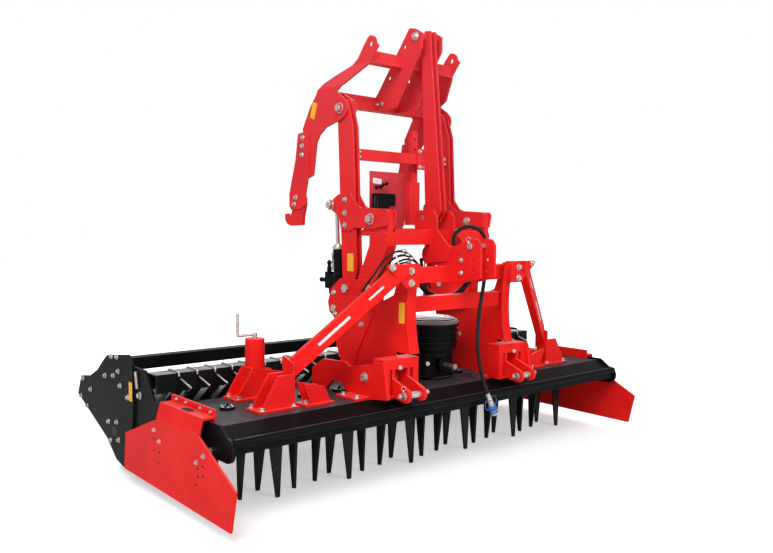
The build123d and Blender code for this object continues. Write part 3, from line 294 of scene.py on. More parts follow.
def finish(name, light, dark, rough, metal=0.0, shine=0.3, patch=4.0, grain=160.0, relief=0.15,
           dust_and_sheen=(0.5, 0.46, 0.42), dust_and_sheen_amount=0.0, dust_and_sheen_from=0.55, edge=None, edge_amount=0.0,
           painted_top_light=None):
    """A procedural finish: two tones, grain, dust and painted highlight on what looks up, edges
    partly worn and partly painted highlight, and a top painted paler as light.
    """
    made = bpy.data.materials.new(name)
    made.use_nodes = True
    tree = made.node_tree
    shader = tree.nodes["Principled BSDF"]
    shader.inputs["Metallic"].default_value = metal
    shader.inputs["Specular IOR Level"].default_value = shine
    coords = add_node(tree, "ShaderNodeTexCoord").outputs["Object"]
    geometry = add_node(tree, "ShaderNodeNewGeometry")
    broad = ranged(tree, speckle(tree, coords, patch, 5.0), 0.32, 0.68)
    fine = speckle(tree, coords, grain, 3.0)
    colour = blended(tree, broad, dark, light)
    # Painted light: higher up, the colour is blended toward a paler one for the brighter light on
    # the top.
    if painted_top_light:
        height = add_node(tree, "ShaderNodeSeparateXYZ")
        tree.links.new(coords, height.inputs["Vector"])
        top_light_share = ranged(tree, height.outputs["Z"], top_light_from, top_light_to, 0.0, most_top_light)
        colour = blended(tree, top_light_share, colour, painted_top_light)
    # On what looks up: dust on the blacks, and on the reds a lighter pink that is painted
    # highlight.
    facing = add_node(tree, "ShaderNodeSeparateXYZ")
    tree.links.new(geometry.outputs["Normal"], facing.inputs["Vector"])
    upward = ranged(tree, facing.outputs["Z"], dust_and_sheen_from, 1.0)
    clouds = ranged(tree, speckle(tree, coords, 11.0, 6.0), 0.25, 0.7, 0.45, 1.0)
    dust_and_sheen_share = product(tree, product(tree, upward, clouds), dust_and_sheen_amount)
    colour = blended(tree, dust_and_sheen_share, colour, dust_and_sheen)
    bevel = add_node(tree, "ShaderNodeBevel", samples=4)
    bevel.inputs["Radius"].default_value = rim_radius
    # Pale rims: partly paint worn at the edges, partly painted highlight where light catches them.
    if edge:
        turn = add_node(tree, "ShaderNodeVectorMath", operation="DOT_PRODUCT")
        tree.links.new(bevel.outputs["Normal"], turn.inputs[0])
        tree.links.new(geometry.outputs["Normal"], turn.inputs[1])
        sharp = ranged(tree, turn.outputs["Value"], 0.985, 0.80)
        edge_breakup = ranged(tree, speckle(tree, coords, 35.0, 4.0), 0.35, 0.6)
        wear_and_highlight = product(tree, product(tree, sharp, edge_breakup), edge_amount)
        colour = blended(tree, wear_and_highlight, colour, edge)
    tree.links.new(colour, shader.inputs["Base Color"])
    roughness = ranged(tree, fine, 0.3, 0.7, rough - 0.07, rough + 0.10)
    tree.links.new(roughness, shader.inputs["Roughness"])
    bump = add_node(tree, "ShaderNodeBump", Strength=relief, Distance=0.001)
    tree.links.new(fine, bump.inputs["Height"])
    tree.links.new(bevel.outputs["Normal"], bump.inputs["Normal"])
    tree.links.new(bump.outputs["Normal"], shader.inputs["Normal"])
    finishes[name] = made


# %% [markdown]
# ## The machine's own finishes
#
# Red is the plate work. Toward the top of the tower it is blended into a paler, pinker red:
# painted light, for the brighter light up there. The blacks differ in how much dust lies on
# them, from the clean roller frames to the scraper beam that is nearly white on top. Bare
# metal, rubber and films follow.

# %% Paints
# On both reds the lighter upward faces and the pale rims are painted highlight; the plate red also
# turns paler toward the top, which is painted light.
finish("red_paint", (0.82, 0.014, 0.011), (0.70, 0.008, 0.008), 0.46, shine=0.10,
       dust_and_sheen=(0.92, 0.15, 0.13), dust_and_sheen_amount=0.5, edge=(0.98, 0.17, 0.14), edge_amount=0.8,
       painted_top_light=(0.62, 0.050, 0.066))
finish("panel_red", (0.54, 0.030, 0.044), (0.42, 0.022, 0.032), 0.48,
       dust_and_sheen=(0.5, 0.2, 0.2), dust_and_sheen_amount=0.3, edge=(0.62, 0.14, 0.15), edge_amount=0.5)
finish("frame_black", (0.0060, 0.0060, 0.0072), (0.0035, 0.0035, 0.0042), 0.40, shine=0.05,
       dust_and_sheen=(0.075, 0.075, 0.080), dust_and_sheen_amount=0.45, edge=(0.10, 0.10, 0.11), edge_amount=0.7)
finish("dusty_black", (0.0060, 0.0060, 0.0070), (0.0035, 0.0035, 0.0040), 0.40, shine=0.06,
       dust_and_sheen=(0.085, 0.088, 0.100), dust_and_sheen_amount=0.70, dust_and_sheen_from=0.93,
       edge=(0.075, 0.075, 0.080), edge_amount=0.6)
finish("dusty_beam", (0.0085, 0.0090, 0.0100), (0.0045, 0.0045, 0.0052), 0.46, shine=0.08,
       dust_and_sheen=(0.34, 0.35, 0.37), dust_and_sheen_amount=0.95, dust_and_sheen_from=0.90,
       edge=(0.13, 0.13, 0.14), edge_amount=0.7)
# The lid's pale layer covers almost every face: partly dust, partly painted highlight for the
# bright light on the lid.
finish("pale_lid", (0.10, 0.10, 0.11), (0.03, 0.03, 0.034), 0.60, shine=0.2,
       dust_and_sheen=(0.66, 0.69, 0.74), dust_and_sheen_amount=1.0, dust_and_sheen_from=0.05,
       edge=(0.12, 0.12, 0.12), edge_amount=0.4)

# %% Metals, rubber and films
finish("worn_steel", (0.017, 0.017, 0.018), (0.006, 0.006, 0.0065), 0.44, metal=0.2, shine=0.22,
       relief=0.3, dust_and_sheen=(0.10, 0.095, 0.09), dust_and_sheen_amount=0.35,
       edge=(0.26, 0.26, 0.26), edge_amount=0.7)
finish("zinc", (0.74, 0.72, 0.69), (0.52, 0.50, 0.47), 0.32, metal=0.85, shine=0.5,
       patch=60.0, relief=0.08, dust_and_sheen=(0.6, 0.55, 0.5), dust_and_sheen_amount=0.2)
finish("chrome_rod", (0.86, 0.87, 0.88), (0.74, 0.75, 0.77), 0.13, metal=1.0, shine=0.5,
       patch=20.0, relief=0.02)
finish("bright_steel", (0.58, 0.57, 0.55), (0.36, 0.35, 0.34), 0.30, metal=0.9, shine=0.5,
       patch=40.0, relief=0.1)
finish("hose_rubber", (0.010, 0.010, 0.011), (0.005, 0.005, 0.0055), 0.52, shine=0.25,
       grain=420.0, relief=0.35, dust_and_sheen=(0.06, 0.06, 0.06), dust_and_sheen_amount=0.4)
finish("label_yellow", (0.90, 0.46, 0.02), (0.80, 0.38, 0.015), 0.42, patch=25.0, relief=0.05)
finish("label_white", (0.82, 0.74, 0.74), (0.70, 0.62, 0.62), 0.40, patch=25.0, relief=0.05)
finish("blue_cap", (0.03, 0.17, 0.52), (0.015, 0.09, 0.36), 0.40, patch=25.0, relief=0.1)

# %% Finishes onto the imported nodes
slot_of = {row["node"]: row["material_slot"] for row in frame["record"]["subparts"]}
dustier = {"scraper_bar": "dusty_beam"}
for node_name, node in nodes.items():
    node.data.materials.clear()
    node.data.materials.append(finishes[dustier.get(node_name, slot_of[node_name])])
hose.data.materials.append(finishes["hose_rubber"])
print("finishes", len(finishes))

# %% [markdown]
# ## Bolts
#
# Nearly everything on such a machine is bolted with zinc-plated hexagon bolts on round
# washers. One bolt is modelled with its chamfered top and its washer, then laid out along
# the plates. Each copy gets a turn of its own, because no fitter lines the flats up.

# %% One hexagon bolt with its washer
random.seed(7)


def pick(test):
    """Selects the faces of the open mesh whose middle passes the test."""
    bpy.ops.mesh.select_all(action="DESELECT")
    mesh = bmesh.from_edit_mesh(bpy.context.object.data)
    mesh.normal_update()
    for face in mesh.faces:
        if test(face.calc_center_median(), face.normal):
            face.select = True
    bmesh.update_edit_mesh(bpy.context.object.data)


bolt_radius, bolt_height = 0.013, 0.011
washer_radius, washer_height = 0.018, 0.003
washer_rim, washer_dome = 0.0012, 0.0006
head_rim, head_rise = 0.0022, 0.0014
dish_rim, dish_depth = 0.0035, 0.0012
bpy.ops.object.select_all(action="DESELECT")
bpy.ops.mesh.primitive_cylinder_add(
    vertices=24, radius=washer_radius, depth=washer_height, location=(0, 0, washer_height / 2)
)
bolt = bpy.context.object
bolt.name = "bolt_model"
bpy.ops.object.transform_apply(location=True, rotation=True, scale=True)
bpy.ops.object.mode_set(mode="EDIT")
pick(lambda middle, normal: normal.z > 0.9)
bpy.ops.mesh.inset(thickness=washer_rim)
bpy.ops.transform.translate(value=(0, 0, washer_dome))
bpy.ops.mesh.select_all(action="DESELECT")
bpy.ops.mesh.primitive_cylinder_add(
    vertices=6, radius=bolt_radius, depth=bolt_height,
    location=(0, 0, washer_height + bolt_height / 2)
)
pick(lambda middle, normal: normal.z > 0.9 and middle.z > bolt_height)
bpy.ops.mesh.inset(thickness=head_rim)
bpy.ops.transform.translate(value=(0, 0, head_rise))
bpy.ops.mesh.inset(thickness=dish_rim)
bpy.ops.transform.translate(value=(0, 0, -dish_depth))
bpy.ops.object.mode_set(mode="OBJECT")
print("bolt faces", len(bolt.data.polygons))

# %% [markdown]
# ## Laying copies out
#
# One bolt becomes hundreds. Each copy has a mesh of its own that is turned to look the way
# its plate looks, and the copies of one kind are joined, so a whole row of bolts is one
# piece. The piece then gets its finish and rides on the body that its plates belong to.

# %% Laying copies out
front_way, up_way = Vector((0, -1, 0)), Vector((0, 0, 1))
sides = {"left": -1, "right": 1}


def dress(piece, slot_name, body):
    """Gives a finished piece its finish and the body it moves with."""
    piece.data.materials.clear()
    piece.data.materials.append(finishes[slot_name])
    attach(piece, body)


def lay_out(model, spots, name, slot_name, body, size=1.0, spin=True):
    """Copies a model to each spot, a place and the way it looks, and joins the copies."""
    bpy.ops.object.select_all(action="DESELECT")
    for place, way in spots:
        copy = model.copy()
        copy.data = model.data.copy()
        bpy.context.scene.collection.objects.link(copy)
        turn = Vector(way).to_track_quat("Z", "Y").to_matrix().to_4x4()
        twist = Matrix.Rotation(random.uniform(0, math.tau) if spin else 0.0, 4, "Z")
        copy.data.transform(Matrix.Translation(place) @ turn @ twist @ Matrix.Scale(size, 4))
        copy.select_set(True)
        bpy.context.view_layer.objects.active = copy
    bpy.ops.object.join()
    made = bpy.context.object
    made.name = name
    dress(made, slot_name, body)
    print(name, len(spots), "copies")


def both_sides(x, places):
    """The same side bolts on the left and the right of the machine."""
    return [(at(sign * x, y, z), (sign, 0, 0)) for sign in sides.values() for y, z in places]


def ring(middle, radius, count, first_turn=0.2):
    """Spots round a circle that looks up."""
    turns = [first_turn + math.tau * i / count for i in range(count)]
    reaches = [Vector((radius * math.cos(turn), radius * math.sin(turn), 0)) for turn in turns]
    return [(middle + reach, up_way) for reach in reaches]


# %% [markdown]
# ## Where the bolts go
#
# The lift's plates are bolted to its columns and arms, and big caps cover the pins it swings
# on. Each place is a pair, fore-and-aft and height, read off the plate that carries it. Bolts
# on the columns and arms ride on those bodies, so they swing with them.

# %% Bolts of the lift
bell_face, arm_face, hook_face, base_face = 0.452, 0.458, 0.470, 0.457
pin_cover_face, head_pin_face, bracket_pin_face = 0.456, 0.462, 0.091
crossbar_x, crossbar_face = 0.372, 0.138
bell_spots = [(0.176, 1.663), (0.175, 1.580), (0.175, 1.505)]
lay_out(bolt, both_sides(bell_face, bell_spots), "bell_bolts", "zinc", "lift")
arm_spots = [(0.609, 2.080), (0.613, 2.025), (0.617, 1.968), (0.690, 1.690), (0.706, 1.645)]
lay_out(bolt, both_sides(hook_face, arm_spots), "hook_bolts", "zinc", "arms")
crossbar_spots = [(at(sign * crossbar_x, crossbar_face, z), front_way)
                  for sign in sides.values() for z in (1.932, 1.962)]
lay_out(bolt, crossbar_spots, "crossbar_bolts", "zinc", "lift", 0.7)
pin_covers = [(-0.078, 1.541), (0.316, 1.633)]
lay_out(bolt, both_sides(pin_cover_face, pin_covers), "bell_pin_heads", "zinc", "lift", 1.9)
bell_inner = min(abs(vertex.co.x) for vertex in nodes["bell_plates_right"].data.vertices)
nut_spots = [(at(sign * bell_inner, *pin_covers[0]), (-sign, 0, 0)) for sign in sides.values()]
lay_out(bolt, nut_spots, "bell_pin_nuts", "zinc", "lift", 1.5)
head_pin_spots = both_sides(head_pin_face, [(0.218, 2.230)])
lay_out(bolt, head_pin_spots, "head_pin_heads", "zinc", "lift", 1.9)
bracket_pin_spots = both_sides(bracket_pin_face, [(-0.067, 2.676)])
lay_out(bolt, bracket_pin_spots, "bracket_pin_heads", "zinc", "arms", 1.5)
base_spots = [(-0.060, 1.130), (0.000, 0.900), (0.130, 0.585), (0.280, 1.080), (0.265, 0.945)]
lay_out(bolt, both_sides(base_face, base_spots), "base_bolts", "zinc", "machine")

# %% [markdown]
# ## Bolts of the frame
#
# The braces are bolted to the upper beam from the front, and their feet, the small brackets
# beside them and the crank post are bolted down on the trough. The spots of a foot are
# counted from its middle, one at each corner.

# %% Bolts of the frame
brace_face = -0.452
brace_spots = [(at(sign * x, brace_face, z), front_way) for sign in sides.values()
               for x, z in ((0.466, 1.247), (0.465, 1.179), (0.606, 1.269))]
lay_out(bolt, brace_spots, "brace_bolts", "zinc", "machine", 1.15)
side_face = 0.632
lay_out(bolt, both_sides(side_face, [(-0.251, 0.634)]), "side_bolts", "zinc", "machine", 1.6)
foot_top = 0.527
foot_x, foot_y = 1.190, -0.155
feet = [(foot_x + dx, foot_y + dy) for dx in (-0.095, 0.095) for dy in (-0.052, 0.052)]
feet += [(0.885, -0.190), (0.998, -0.190), (0.700, -0.262), (0.700, -0.138)]
foot_spots = [(at(sign * x, y, foot_top), up_way) for sign in sides.values() for x, y in feet]
foot_spots += [(at(x, y, foot_top), up_way) for x in (-1.235, -0.935) for y in (0.120, 0.230)]
lay_out(bolt, foot_spots, "foot_bolts", "zinc", "machine", 1.1)

# %% [markdown]
# ## Bolts of the bearing covers and the gearbox
#
# Every rotor has a cover with a ring of small bolts, except the one that the gearbox stands
# on. Spots on a circle are worked out by turning a reach round its middle, which is shorter
# and truer than writing them down.

# %% Bolts of the bearing covers and the gearbox
rotor_pitch, rotor_count = 0.250, 12
gearbox_x = rotor_pitch / 2
cap_top, cap_ring = 0.529, 0.031
lid_seat, lid_ring = 0.872, 0.176
rotor_places = [(i - (rotor_count - 1) / 2) * rotor_pitch for i in range(rotor_count)]
cap_places = [x for x in rotor_places if abs(x - gearbox_x) > rotor_pitch / 4]
cap_spots = [spot for x in cap_places for spot in ring(at(x, 0, cap_top), cap_ring, 6)]
lay_out(bolt, cap_spots, "cap_bolts", "zinc", "machine", 0.42)
lid_spots = ring(at(gearbox_x, 0, lid_seat), lid_ring, 12)
lay_out(bolt, lid_spots, "gearbox_bolts", "zinc", "machine", 0.45)
side_plug_spots = [(at(gearbox_x + 0.140, -0.122, 0.800), (0.76, -0.65, 0))]
lay_out(bolt, side_plug_spots, "gearbox_side_plug", "zinc", "machine", 1.1)

# %% [markdown]
# ## Bolts of the roller frames
#
# The roller hangs between two big plates. Their bolts hold the beams, the scraper beam and
# the roller's bearings, so they follow what is behind the plate and not a neat grid.

# %% Bolts of the roller frames
frame_face = 1.626
frame_spots = [
    (1.014, 0.291), (0.883, 0.312), (0.985, 0.181), (0.855, 0.209), (1.060, 0.569),
    (0.928, 0.588), (0.852, 0.624), (0.824, 0.542), (0.956, 0.701), (0.871, 0.708),
    (1.444, 0.494), (1.310, 0.443), (1.487, 0.373), (1.376, 0.324), (0.712, 0.490),
]
lay_out(bolt, both_sides(frame_face, frame_spots), "frame_bolts", "zinc", "machine", 0.9)
arm_plate_face = 1.612
arm_plate_spots = both_sides(arm_plate_face, [(0.573, 0.523)])
lay_out(bolt, arm_plate_spots, "arm_plate_bolts", "zinc", "machine", 1.2)

# %% [markdown]
# ## Smaller bolts
#
# The deflectors, the hitch brackets, the hitch plates and the perforated bracket have bolts
# of a smaller size, so the same bolt is laid out again at a smaller scale. The eight of the
# hitch boxes are known to stand 0.1 m in front of the box, whose face is at -0.400.

# %% Bolts of the deflectors and the brackets
edge_face = 1.572
edge_spots = [(y, 0.563) for y in (-0.190, -0.080, 0.080, 0.190)]
lay_out(bolt, both_sides(edge_face, edge_spots), "deflector_bolts", "zinc", "machine", 0.6)
plate_face = 1.660
plate_spots = [(0.276, 0.393), (0.214, 0.343), (-0.210, 0.329), (-0.283, 0.377)]
deflector_plate_spots = both_sides(plate_face, plate_spots)
lay_out(bolt, deflector_plate_spots, "deflector_plate_bolts", "zinc", "machine", 0.75)
hitch_x, hitch_front = 0.4825, -0.500
box_spots = [(at(sign * (hitch_x + dx), hitch_front, z), front_way)
             for sign in sides.values() for dx in (-0.104, 0.104) for z in (0.560, 0.720)]
lay_out(bolt, box_spots, "hitch_box_bolts", "zinc", "machine", 0.7)
hitch_plate_face = 0.068
hitch_plate_spots = both_sides(hitch_plate_face, [(-0.455, 1.300), (-0.455, 1.225)])
lay_out(bolt, hitch_plate_spots, "hitch_plate_bolts", "zinc", "machine", 0.9)
bracket_face = 0.090
bracket_spots = [(0.255, 2.300), (0.305, 2.300)]
lay_out(bolt, both_sides(bracket_face, bracket_spots), "bracket_bolts", "zinc", "arms", 0.9)
print("bolts laid out")

# %% [markdown]
# ## Turned and pressed trim
#
# The bearing covers carry filler plugs, the deflectors stand off the trough on sleeves, and
# each cylinder ends in a screwed gland with two ports. These are turned shapes, so each
# starts as a short cylinder whose end face is inset, lifted and widened step by step, as a
# lathe would cut it, and whose sharp rims are then bevelled.

# %% Turned shapes


def turned(name, steps, vertices=32):
    """A turned piece along Z from its base: rows of radius and height, each a step upward."""
    bpy.ops.object.select_all(action="DESELECT")
    radius, height = steps[0]
    bpy.ops.mesh.primitive_cylinder_add(
        vertices=vertices, radius=radius, depth=height, location=(0, 0, height / 2)
    )
    made = bpy.context.object
    made.name = name
    bpy.ops.object.transform_apply(location=True, rotation=True, scale=True)
    bpy.ops.object.mode_set(mode="EDIT")
    top = height
    pick(lambda middle, normal: normal.z > 0.9)
    for next_radius, rise in steps[1:]:
        if next_radius < radius:
            bpy.ops.mesh.inset(thickness=radius - next_radius)
            bpy.ops.mesh.extrude_region_move(TRANSFORM_OT_translate={"value": (0, 0, rise)})
        else:
            growth = next_radius / radius
            bpy.ops.mesh.extrude_region_move(TRANSFORM_OT_translate={"value": (0, 0, 0)})
            bpy.ops.transform.resize(value=(growth, growth, 1), center_override=(0, 0, top))
            bpy.ops.mesh.extrude_region_move(TRANSFORM_OT_translate={"value": (0, 0, rise)})
        radius, top = next_radius, top + rise
    bpy.ops.object.mode_set(mode="OBJECT")
    return made


def smooth_rims(piece, width=0.0012):
    """Rounds the sharp rims of a piece and shades its round faces smooth."""
    rims = piece.modifiers.new("rims", "BEVEL")
    rims.width = width
    rims.segments = 2
    rims.limit_method = "ANGLE"
    rims.angle_limit = math.radians(40)
    bpy.ops.object.select_all(action="DESELECT")
    piece.select_set(True)
    bpy.context.view_layer.objects.active = piece
    bpy.ops.object.modifier_apply(modifier=rims.name)
    for face in piece.data.polygons:
        face.use_smooth = True
    piece.data.set_sharp_from_angle(angle=math.radians(35))


# %% Plugs, holes and sleeves
plug = turned("plug_model", [(0.015, 0.006), (0.010, 0.012), (0.013, 0.007)], 24)
smooth_rims(plug)
cap_plug_spots = [(at(x, 0, cap_top), up_way) for x in cap_places]
lay_out(plug, cap_plug_spots, "cap_plugs", "dusty_black", "machine", 0.7)
bpy.data.objects.remove(plug)

# The holes in the deflector plates are thin black discs on the face: painted shade for the dark
# seen through a hole.
deflector_hole = turned("deflector_hole", [(0.0075, 0.0004), (0.006, 0.0002)], 20)
hole_spots = both_sides(plate_face, [
    (0.282, 0.345), (0.284, 0.280), (0.221, 0.282), (0.229, 0.225), (-0.220, 0.301),
    (-0.272, 0.324), (-0.223, 0.262), (-0.272, 0.274), (-0.197, 0.215),
])
lay_out(deflector_hole, hole_spots, "deflector_holes", "frame_black", "machine", spin=False)
bpy.data.objects.remove(deflector_hole)

sleeve = turned("sleeve_model", [(0.020, 0.006), (0.0165, 0.068), (0.020, 0.006)], 32)
smooth_rims(sleeve)
sleeve_foot = 1.563
sleeve_spots = both_sides(sleeve_foot, [(-0.240, 0.384), (0.225, 0.378)])
lay_out(sleeve, sleeve_spots, "deflector_sleeves", "zinc", "machine", spin=False)
bpy.data.objects.remove(sleeve)

# %% [markdown]
# ## Gearbox housing and its pale lid
#
# The change-gear housing is a fat ribbed drum with a domed lid, pale over nearly every face:
# partly dust and partly a painted highlight for the bright light that falls on it. The drum
# is one turned shape with three ribs, and its foot is flattened in front, where the drive
# shaft comes out. Each rib is the same three steps, so they are written once and repeated.

# %% Gearbox drum
drum_base, dome_base, foot_base = 0.690, 0.873, 0.5275
one_rib = [(0.172, 0.026), (0.184, 0.010), (0.172, 0.001)]
drum_steps = [(0.150, 0.020), (0.172, 0.012)] + one_rib * 3 + [(0.172, 0.026), (0.190, 0.014)]
drum = turned("gearbox_drum", drum_steps, 96)
drum.data.transform(Matrix.Translation(at(gearbox_x, 0, drum_base)))
smooth_rims(drum, 0.002)
dress(drum, "dusty_black", "machine")
dome = turned("gearbox_dome", [
    (0.186, 0.004), (0.184, 0.010), (0.176, 0.010), (0.160, 0.009), (0.138, 0.007),
    (0.108, 0.005), (0.070, 0.003),
], 96)
dome.data.transform(Matrix.Translation(at(gearbox_x, 0, dome_base)))
smooth_rims(dome, 0.003)
dress(dome, "pale_lid", "machine")

# %% Gearbox foot
foot_drum = turned("gearbox_foot", [(0.158, 0.014), (0.148, 0.144)], 96)
foot_drum.data.transform(Matrix.Translation(at(gearbox_x, 0, foot_base)))
bpy.ops.object.select_all(action="DESELECT")
foot_drum.select_set(True)
bpy.context.view_layer.objects.active = foot_drum
bpy.ops.object.mode_set(mode="EDIT")
front_cut = at(0, -0.100, 0).y
mesh = bmesh.from_edit_mesh(foot_drum.data)
for corner in mesh.verts:
    corner.select = corner.co.y < front_cut
mesh.select_flush(True)
bmesh.update_edit_mesh(foot_drum.data)
bpy.ops.transform.resize(value=(1, 0, 1), center_override=(0, front_cut, 0))
bpy.ops.object.mode_set(mode="OBJECT")
smooth_rims(foot_drum, 0.002)
dress(foot_drum, "dusty_black", "machine")
print("gearbox dressed")

# %% [markdown]
# ## Cylinder trim
#
# A hydraulic cylinder ends in a screwed gland where the rod comes out, and oil goes in and
# out through a port near each end, here with a short steel pipe along the upper one. All of
# it lies along the line from the cylinder's foot to its eye and rides on the barrel.

# %% Cylinder glands, ports and their pipes
cylinder_x = 0.410
foot, eye = at(cylinder_x, 0.277, 0.980), at(cylinder_x, 0.316, 1.633)
upper_port, gland_seat = 0.345, 0.372
stroke_way = (eye - foot).normalized()
gland = turned("gland_model", [(0.036, 0.018), (0.030, 0.010), (0.019, 0.006)], 40)
smooth_rims(gland)
port = turned("port_model", [(0.013, 0.010), (0.009, 0.006), (0.012, 0.010)], 20)
rear = Vector((0, stroke_way.z, -stroke_way.y))
pipe_out = rear * 0.058
for side_name, sign in sides.items():
    low = Vector((sign * foot.x, foot.y, foot.z))
    barrel = f"barrel_{side_name}"
    gland_spots = [(low + stroke_way * gland_seat, stroke_way)]
    lay_out(gland, gland_spots, f"gland_{side_name}", "zinc", barrel, spin=False)
    ports = [(low + stroke_way * reach + rear * 0.031, rear) for reach in (0.075, upper_port)]
    lay_out(port, ports, f"ports_{side_name}", "zinc", barrel)
    pipe = line(f"cylinder_pipe_{side_name}", [
        low + stroke_way * upper_port + rear * 0.050,
        low + stroke_way * upper_port + pipe_out,
        low + stroke_way * 0.320 + pipe_out * 1.15,
        low + stroke_way * 0.235 + pipe_out * 1.15,
    ], 0.006)
    dress(pipe, "zinc", barrel)
for model in (port, gland):
    bpy.data.objects.remove(model)

# %% [markdown]
# ## Plates, stems and levers
#
# A small plate clamps the prop to the crossbar, each cylinder's valve block carries a tall
# cartridge, and two levers stand on the panel with two short hoses below them. A plate
# starts as a cube drawn to size whose edges are bevelled, so that light catches its rims.

# %% Small plates and valve parts


def plate_piece(name, low, high, rim=0.002):
    """A bevelled plate or block between two opposite corners."""
    bpy.ops.object.select_all(action="DESELECT")
    bpy.ops.mesh.primitive_cube_add(size=1)
    made = bpy.context.object
    made.name = name
    bpy.ops.object.mode_set(mode="EDIT")
    bpy.ops.mesh.select_all(action="SELECT")
    bpy.ops.transform.resize(value=tuple(high - low))
    bpy.ops.mesh.bevel(offset=rim, segments=2, affect="EDGES")
    bpy.ops.object.mode_set(mode="OBJECT")
    made.data.transform(Matrix.Translation((low + high) / 2))
    return made


clamp_plate = plate_piece("prop_clamp", at(0.118, 0.126, 1.878), at(0.196, 0.1375, 2.016), 0.003)
dress(clamp_plate, "red_paint", "lift")
clamp_spots = [(at(x, 0.126, z), front_way) for x in (0.134, 0.180) for z in (1.896, 1.998)]
lay_out(bolt, clamp_spots, "prop_clamp_bolts", "zinc", "lift", 0.75)

# %% Valve cartridges and levers
cartridge_steps = [(0.015, 0.030), (0.012, 0.022), (0.016, 0.014), (0.009, 0.010)]
cartridge = turned("cartridge_model", cartridge_steps, 28)
smooth_rims(cartridge)
for side_name, sign in sides.items():
    middle_x = sign * cylinder_x
    block = plate_piece(f"cartridge_block_{side_name}", at(middle_x - 0.022, 0.372, 1.098),
                        at(middle_x + 0.022, 0.416, 1.206), 0.004)
    dress(block, "dusty_black", f"barrel_{side_name}")
    spots = [(at(middle_x, 0.394, 1.206), up_way), (at(middle_x, 0.416, 1.150), (0, 1, 0))]
    lay_out(cartridge, spots, f"cartridges_{side_name}", "dusty_black", f"barrel_{side_name}")
lever = turned("lever_model", [(0.014, 0.006), (0.0045, 0.038), (0.011, 0.014), (0.008, 0.003)], 24)
smooth_rims(lever)
lever_spots = [
    (at(-0.320, 0.036, 1.738), (0.5, -1, 0.35)),
    (at(-0.285, 0.036, 1.742), (0.35, -1, 0.45)),
]
lay_out(lever, lever_spots, "panel_levers", "dusty_black", "machine")
for model in (cartridge, lever):
    bpy.data.objects.remove(model)
for number, x in enumerate((-0.362, -0.340), start=1):
    drop = line(f"panel_hose_{number}", [
        at(x + 0.02, -0.010, 1.672), at(x, -0.012, 1.690), at(x - 0.012, -0.014, 1.640),
        at(x - 0.008, -0.014, 1.560), at(x, -0.012, 1.492),
    ], 0.0075)
    dress(drop, "hose_rubber", "machine")
print("small plates and levers made")

# %% [markdown]
# ## Hoses held along the frame
#
# Four thin hoses leave fittings on the left lift base, run up behind the brace, arch over the
# leg and end in the middle. A thicker one hangs in a shallow loop under the upper beam. The
# thin ones share one route, each moved a little aside, so that they stay a bundle. All are
# held by the frame, so they move with it and never stretch.

# %% Hose bundle
bundle_middle = [
    (-0.438, -0.085, 1.085), (-0.490, -0.088, 1.087), (-0.545, -0.130, 1.095),
    (-0.590, -0.210, 1.105), (-0.600, -0.262, 1.150), (-0.575, -0.283, 1.195),
    (-0.550, -0.285, 1.226), (-0.500, -0.285, 1.282), (-0.435, -0.285, 1.322),
    (-0.360, -0.282, 1.332), (-0.290, -0.276, 1.308), (-0.230, -0.268, 1.262),
    (-0.190, -0.262, 1.205), (-0.165, -0.262, 1.150),
]
# each row: three steps aside from the middle, and the radius
hose_ways = [
    (0.000, 0.000, 0.000, 0.0075), (0.012, -0.020, -0.022, 0.0065),
    (-0.016, 0.012, 0.024, 0.0065), (0.020, 0.010, -0.044, 0.0055),
]
for number, (dx, dy, lift, thick) in enumerate(hose_ways, start=1):
    route = [at(x + dx, y + dy, z + lift) for x, y, z in bundle_middle]
    dress(line(f"frame_hose_{number}", route, thick), "hose_rubber", "machine")
holder = line("hose_holder", [
    at(-0.440, -0.330, 1.262), at(-0.440, -0.300, 1.300), at(-0.437, -0.285, 1.345),
], 0.005)
dress(holder, "zinc", "machine")
loop = line("beam_loop", [
    at(-0.250, -0.268, 1.185), at(-0.190, -0.262, 1.118), at(-0.100, -0.258, 1.072),
    at(0.000, -0.256, 1.060), at(0.100, -0.258, 1.078), at(0.180, -0.262, 1.124),
    at(0.235, -0.268, 1.190),
], 0.017)
dress(loop, "hose_rubber", "machine")
print("hoses along the frame made")

# %% [markdown]
# ## Ferrules
#
# Where a hose ends or is clipped, a pressed steel sleeve holds it. Each one looks along its
# hose, so the way of the front hose's last stretch is worked out first.

# %% Hose ferrules
ferrule = turned("ferrule_model", [(0.0125, 0.030), (0.0145, 0.012), (0.010, 0.008)], 24)
smooth_rims(ferrule)
hose_end = at(0.150, -0.505, 0.440)
last_run = (hose_end - at(0.105, -0.505, 0.528)).normalized()
ferrule_spots = [(hose_exit, (0, 0, 1)), (hose_end - last_run * 0.050, last_run)]
lay_out(ferrule, ferrule_spots, "hose_ferrules", "zinc", "machine", 1.12)
bundle_spots = [(at(-0.360 + dx, -0.282 + dy, 1.332 + lift), (1, 0.05, -0.05))
                for dx, dy, lift, thick in hose_ways]
base_outer = -0.457
bundle_spots += [(at(base_outer, -0.085 + dy, 1.085 + lift), (-1, 0, 0))
                 for dx, dy, lift, thick in hose_ways]
lay_out(ferrule, bundle_spots, "bundle_ferrules", "zinc", "machine", 0.72)
bpy.data.objects.remove(ferrule)

# %% [markdown]
# ## Dust cap
#
# The coupler wears a blue cap on a forked strap, the one spot of blue on the machine. The cap
# is turned, and the strap is two thin lines that bow out to either side of it.

